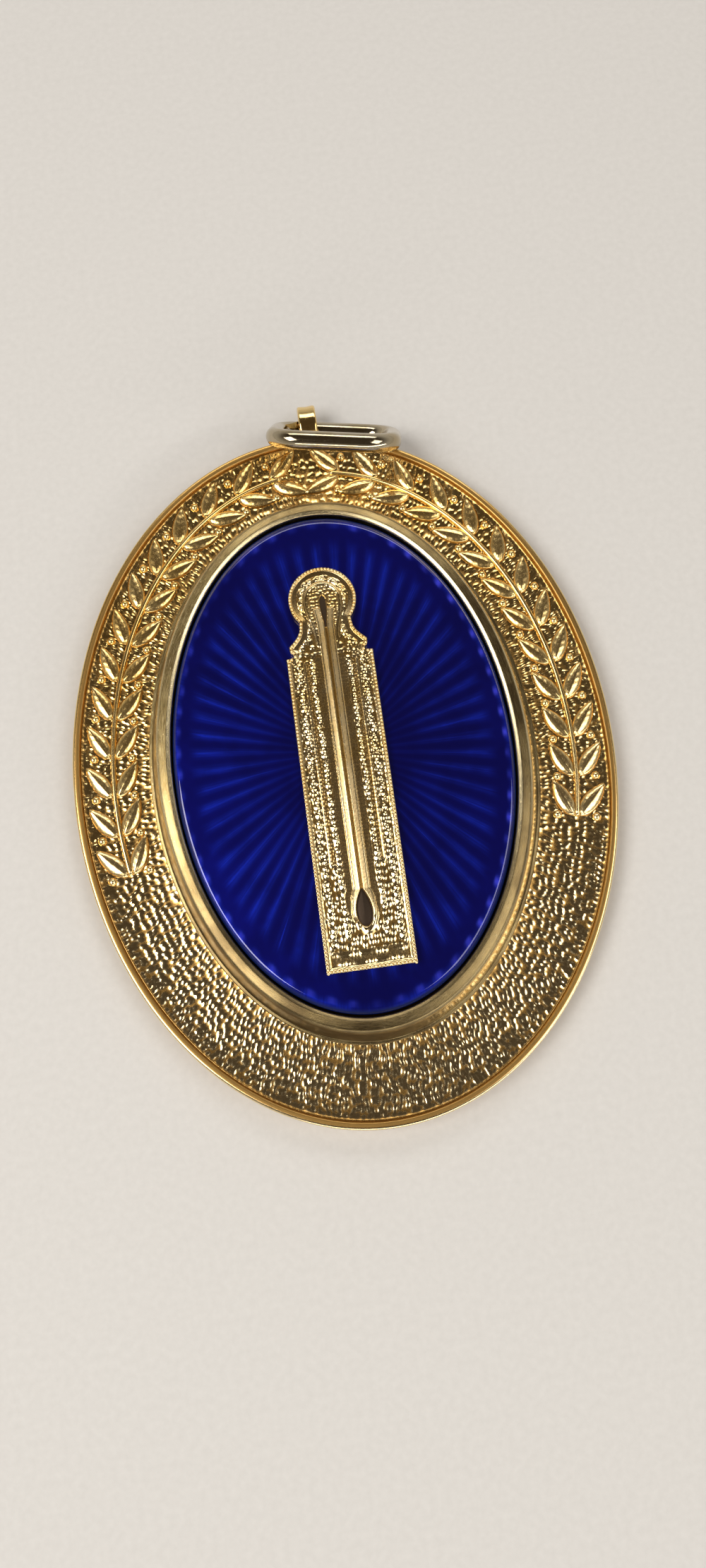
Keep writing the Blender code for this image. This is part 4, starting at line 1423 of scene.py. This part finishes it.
def lay_rails(skin):
    """A band beside each rail, then the rail with its frosted top and bright lips."""
    y = skin.y
    beside = np.minimum(skin.across - slot_half_width(y), outside_bob(skin.x, y, 0.10))
    rail_width = RAIL_WIDTH - 0.30 * (1 - ramp(y, -17.2, -15.6))
    past_rail = beside - rail_width
    band = between(past_rail, 0, BAND_WIDTH * ramp(y, -20.5, -15.0))
    band *= ramp(y, -19.6, -18.6) * (1 - ramp(y, 10.6, 11.4))
    ripple = 0.004 * np.cos(2 * np.pi * (y / 0.42 + 0.15 * np.sin(y * 2.1)))
    mottle = (0.006 + 0.03 * ramp(past_rail, 0.5, 0.8)) * skin.small
    skin.lay(band, BAND + ripple + mottle, 0.7 - 0.3 * skin.small)

    ends = (1 - ramp(y, RAIL_TOP - 0.25, RAIL_TOP)) * ramp(y, -18.9, -18.1)
    lip = np.clip(ridge(past_rail, -0.09, 0.07) + ridge(beside, 0.08, 0.06), 0, 1)
    sand = 0.018 * skin.grains(0.17, 0.18, 12) * (1 - lip)
    top = GROUND + RAIL_RISE - 0.15 * beside / RAIL_WIDTH + sand + 0.045 * lip
    skin.lay(between(beside, 0, rail_width, 0.03) * ends, top, 0.5 * (1 - lip), 0.85 * (1 - lip))


def lay_slot(skin):
    """The slot between the rails, painted near black as painted shade, with the plumb line in it."""
    x, y = skin.x, skin.y
    slot = 1 - ramp(skin.across - slot_half_width(y), -0.04, 0.02)
    slot *= (y > BOB_MIDDLE) * (y < SLOT_TOP)
    line = np.sqrt(np.clip(1 - (x / LINE_RADIUS) ** 2, 0, 1)) * (y > BOB_MIDDLE) * (y < LINE_TOP)
    # Painted shade: the slot is painted near black, a little less over the line.
    skin.lay(slot, BAND - 0.07 + 0.08 * line, 1.9 - 0.9 * line)


print(f"rails are {RAIL_WIDTH} mm wide, and the line between them {2 * LINE_RADIUS} mm")

# %% Lay the bob and the border
BORDER_TOP = 0.76
HEAD_START = (11.4, 12.6)


def lay_bob(skin):
    """Hollow and bob in painted near-black shade and dark reflection, and a bright lip at the lower right."""
    x, y = skin.x, skin.y
    from_bob = outside_bob(x, y)
    lip = ridge(from_bob, 0.34, 0.24) * ramp(x, -0.7, 0.3)
    lip *= 1 - ramp(y, BOB_MIDDLE - 0.9, BOB_MIDDLE + 0.3)
    skin.lay(lip, BAND + 0.20, 0.0)
    # Painted shade in the hollow and a painted dark reflection on the bob: both are painted near black.
    skin.lay(1 - ramp(from_bob, 0.04, 0.12), BAND - 0.08, 2.0)
    swell = np.sqrt(np.clip(-from_bob / BOB_RADIUS, 0, 1))
    skin.lay(1 - ramp(from_bob, -0.04, 0.0), BAND - 0.08 + 0.22 * swell, 2.0)


def lay_border(skin):
    """The raised border and the slope inside it, which is longer and lower in the head."""
    edge = edge_distance(skin.x, skin.y)
    in_head = ramp(skin.y, *HEAD_START)
    slope_end = 0.64 + 0.30 * in_head
    down = np.clip((edge - BORDER_WIDTH) / (slope_end - BORDER_WIDTH), 0, 1)
    slope = (0.15 - 0.06 * in_head) * (1 - down) + 0.035 * skin.small * (1 - in_head)
    skin.lay(1 - ramp(edge, slope_end - 0.10, slope_end), BAND + slope, 0.45)
    skin.lay(1 - ramp(edge, BORDER_WIDTH - 0.04, BORDER_WIDTH + 0.03), BORDER_TOP, 0.4)


FORMS = (lay_ground, lay_side_bands, lay_foot, lay_studs_and_arch, lay_rails, lay_slot, lay_bob, lay_border)


def cast_skin(x, y):
    """The whole skin, with every form laid on it in order."""
    skin = Skin(x, y)
    for lay_form in FORMS:
        lay_form(skin)
    return skin


sample = cast_skin(np.zeros(5), np.array([-23.6, -18.0, 0.0, 17.0, 21.6]))
print("heights down the middle:", sample.height.round(2))

# %% Cut the grid to the board and raise it
RULE_COLUMNS = 146
RULE_ROWS = 560
INNER_PART = 2.45
INNER_SHARE = 0.5
rows = np.concatenate(
    [
        np.linspace(RULE_BOTTOM, outline[-1, 1], RULE_ROWS),
        outline[:, 1],
        RULE_SHOULDER + np.array([0.03, 0.06]),
        round_head(HEAD_RADIUS, np.linspace(1.0, np.pi / 2, 22))[:, 1],
    ]
)
rows = np.unique(rows.round(3))
bm = bmesh.new()
bmesh.ops.create_grid(bm, x_segments=RULE_COLUMNS, y_segments=len(rows) - 1, size=0.5)
flat = read_points(bm)
y = rows[np.rint((flat[:, 1] + 0.5) * (len(rows) - 1)).astype(int)]
half_width = np.interp(y, outline[:, 1], outline[:, 0])
inner_width = INNER_PART * np.minimum(1, half_width / NECK)
share = np.abs(flat[:, 0]) * 2
outer = inner_width + (half_width - inner_width) * (share - INNER_SHARE) / (1 - INNER_SHARE)
x = np.sign(flat[:, 0]) * np.where(share < INNER_SHARE, inner_width * share / INNER_SHARE, outer)
skin = cast_skin(x, y)
write_points(bm, np.column_stack([x, y, skin.height]))
mark_points(bm, "hollow", skin.hollow)
mark_points(bm, "frost", skin.frost)
bmesh.ops.remove_doubles(bm, verts=bm.verts[:], dist=4 * SAME_POINT)
edges = [edge for edge in bm.edges if edge.is_boundary]
grown = bmesh.ops.extrude_edge_only(bm, edges=edges)["geom"]
for item in grown:
    if isinstance(item, bmesh.types.BMVert):
        item.co.z = 0.0
rim = [item for item in grown if isinstance(item, bmesh.types.BMEdge) and item.is_boundary]
bmesh.ops.holes_fill(bm, edges=rim)
points = read_points(bm)
points[:, 2] += dome_height(points[:, 0], points[:, 1]) + GAP / 2
write_points(bm, points)
finish_piece(bm, "rule_casting", cast_gold, "jewel", "cast_gold", "plumb_rule", merge=False)
print(f"the casting's highest point is {points[:, 2].max():.2f} mm above the back")

# %% [markdown]
# ## The milled border
#
# A row of small beads was milled into the board's raised border. They stand on its very edge and catch the
# light one by one. Each is a copy of one ball of a few dozen faces, flattened, laid along the outline and
# mirrored to the other side.

# %% Set the beads
MILL_PITCH = 0.41
BEAD_AXES = (0.195, 0.185, 0.14)
BEAD_INSET = 0.17
BEAD_HEIGHT = 0.77

sides = np.diff(board_corners, axis=0)
walked = np.concatenate([[0], np.cumsum(np.hypot(*sides.T))])
count = round(walked[-1] / MILL_PITCH)
bm = bmesh.new()
bmesh.ops.create_uvsphere(bm, u_segments=8, v_segments=6, radius=1)
bead = bpy.data.meshes.new("bead")
bm.to_mesh(bead)
bm.clear()
for number in range(count + 1):
    at = walked[-1] * number / count
    piece = min(int(np.searchsorted(walked, at, "right")) - 1, len(sides) - 1)
    along = sides[piece] / np.hypot(*sides[piece])
    inwards = BEAD_INSET * np.array([-along[1], along[0]])
    spot = board_corners[piece] + along * (at - walked[piece]) + inwards
    spot[0] = max(spot[0], 0.0)
    height = dome_height(*spot) + GAP / 2 + BEAD_HEIGHT
    for mirror in (1, -1) if 0 < number < count else (1,):
        turned = Matrix.Rotation(math.atan2(mirror * along[1], along[0]), 4, "Z")
        place = Matrix.Translation((mirror * spot[0], spot[1], height)) @ turned
        placed = bead.copy()
        placed.transform(place @ Matrix.Diagonal((*BEAD_AXES, 1)))
        bm.from_mesh(placed)
        bpy.data.meshes.remove(placed)
bpy.data.meshes.remove(bead)
mark_points(bm, "frost", 0.7)
finish_piece(bm, "rule_milling", cast_gold, "jewel", "cast_gold", "plumb_rule", merge=False)
print(f"{2 * count} beads round the rule")

# %% [markdown]
# ## Floor
#
# The jewel lies on its back on a plain pale sheet of paper with a faint grain. Floor and lamps are the only
# things given in metres.

# %% Lay the floor
FLOOR_HALF_SIZE = 0.6
PAPER_SHADE = (0.58, 0.57, 0.56)
PAPER_LIGHT = (0.66, 0.65, 0.64)

bm = bmesh.new()
bmesh.ops.create_grid(bm, x_segments=1, y_segments=1, size=FLOOR_HALF_SIZE)
mesh = bpy.data.meshes.new("floor")
bm.to_mesh(mesh)
bm.free()
floor = bpy.data.objects.new("floor", mesh)
bpy.context.scene.collection.objects.link(floor)
paper, tree, shader = start_finish("floor_paper", Roughness=0.7)
grain = spots(tree, object_place(tree), 0.8, 4)
lay_colours(tree, shader, PAPER_SHADE, ((grain, PAPER_LIGHT),))
set_bump(tree, shader, grain, 0.05, 0.5)
mesh.materials.append(paper)
print("floor is", tuple(round(value, 2) for value in floor.dimensions))

# %% [markdown]
# ## Camera
#
# The camera looks down at the jewel from above its lower half, tilted toward the ring and rolled a little,
# so that the jewel leans to the left. Its place is given in the jewel's frame, and its three axes are the
# rows of one small matrix.

# %% Place the camera
CAMERA_RIGHT = (0.99098751, -0.13363454, -0.00925011)
CAMERA_UP = (0.13272889, 0.97025892, 0.20243681)
CAMERA_BACK = (-0.01807755, -0.20184011, 0.97925164)
CAMERA_PLACE = Vector((-1.42, -26.495, 116.99)) * MM

camera_data = bpy.data.cameras.new("camera")
camera_data.lens = 23.49
camera_data.sensor_width = 36
camera_data.clip_start = 0.005
camera_data.clip_end = 5
camera = bpy.data.objects.new("camera", camera_data)
axes = Matrix((CAMERA_RIGHT, CAMERA_UP, CAMERA_BACK)).transposed().to_4x4()
camera.matrix_world = Matrix.Translation(CAMERA_PLACE) @ axes
bpy.context.scene.collection.objects.link(camera)
bpy.context.scene.camera = camera
print("camera is", round(camera_data.lens, 2), "mm, at", tuple(round(value, 4) for value in CAMERA_PLACE))

# %% [markdown]
# ## Light
#
# Polished metal has no look of its own: it shows what is round it. Soft boxes stand about half way up to
# the left, to the right and beyond the ring, and the left one is by far the strongest. A long box beyond
# the foot hangs low, so that every rounded edge draws a thin line of light. The air overhead is dim and
# warm. So flat metal is a deep gold, and every slope finds a box to shine in.

# %% Hang the soft boxes
LAMP_DISTANCE = 0.60
LAMP_TINT = (1.0, 0.96, 0.90)
LAMPS = (
    # name, turn (0 is beyond the foot, 90 to the right), lift in degrees, width, height, power
    ("right_box", 68, 56, 0.38, 0.27, 1.08),
    ("left_box", -78, 56, 0.38, 0.27, 2.45),
    ("far_box", 174, 43, 0.46, 0.17, 0.80),
    ("low_box", 20, 24, 1.10, 0.07, 1.45),
)
AIR_BELOW = (0.55, 0.52, 0.47)
AIR_ABOVE = (0.056, 0.042, 0.028)

for name, turn, lift, width, height, power in LAMPS:
    lamp = bpy.data.lights.new(name, "AREA")
    lamp.shape = "RECTANGLE"
    lamp.size, lamp.size_y = width, height
    lamp.energy = power
    lamp.color = LAMP_TINT
    turn, lift = math.radians(turn), math.radians(lift)
    level = math.cos(lift)
    place = Vector((math.sin(turn) * level, -math.cos(turn) * level, math.sin(lift))) * LAMP_DISTANCE
    box = bpy.data.objects.new(name, lamp)
    box.location = place
    box.rotation_euler = place.to_track_quat("Z", "Y").to_euler()
    bpy.context.scene.collection.objects.link(box)
world = bpy.data.worlds.new("studio")
world.use_nodes = True
tree = world.node_tree
sky = add_node(tree, "ShaderNodeTexCoord").outputs["Generated"]
air = mix_colour(tree, spread(tree, along_axis(tree, sky, "Z"), 0.12, 0.80), AIR_BELOW, AIR_ABOVE)
tree.links.new(air, tree.nodes["Background"].inputs["Color"])
bpy.context.scene.world = world
bpy.context.scene.view_settings.view_transform = "Standard"
print("lamps:", [name for name, *_ in LAMPS])
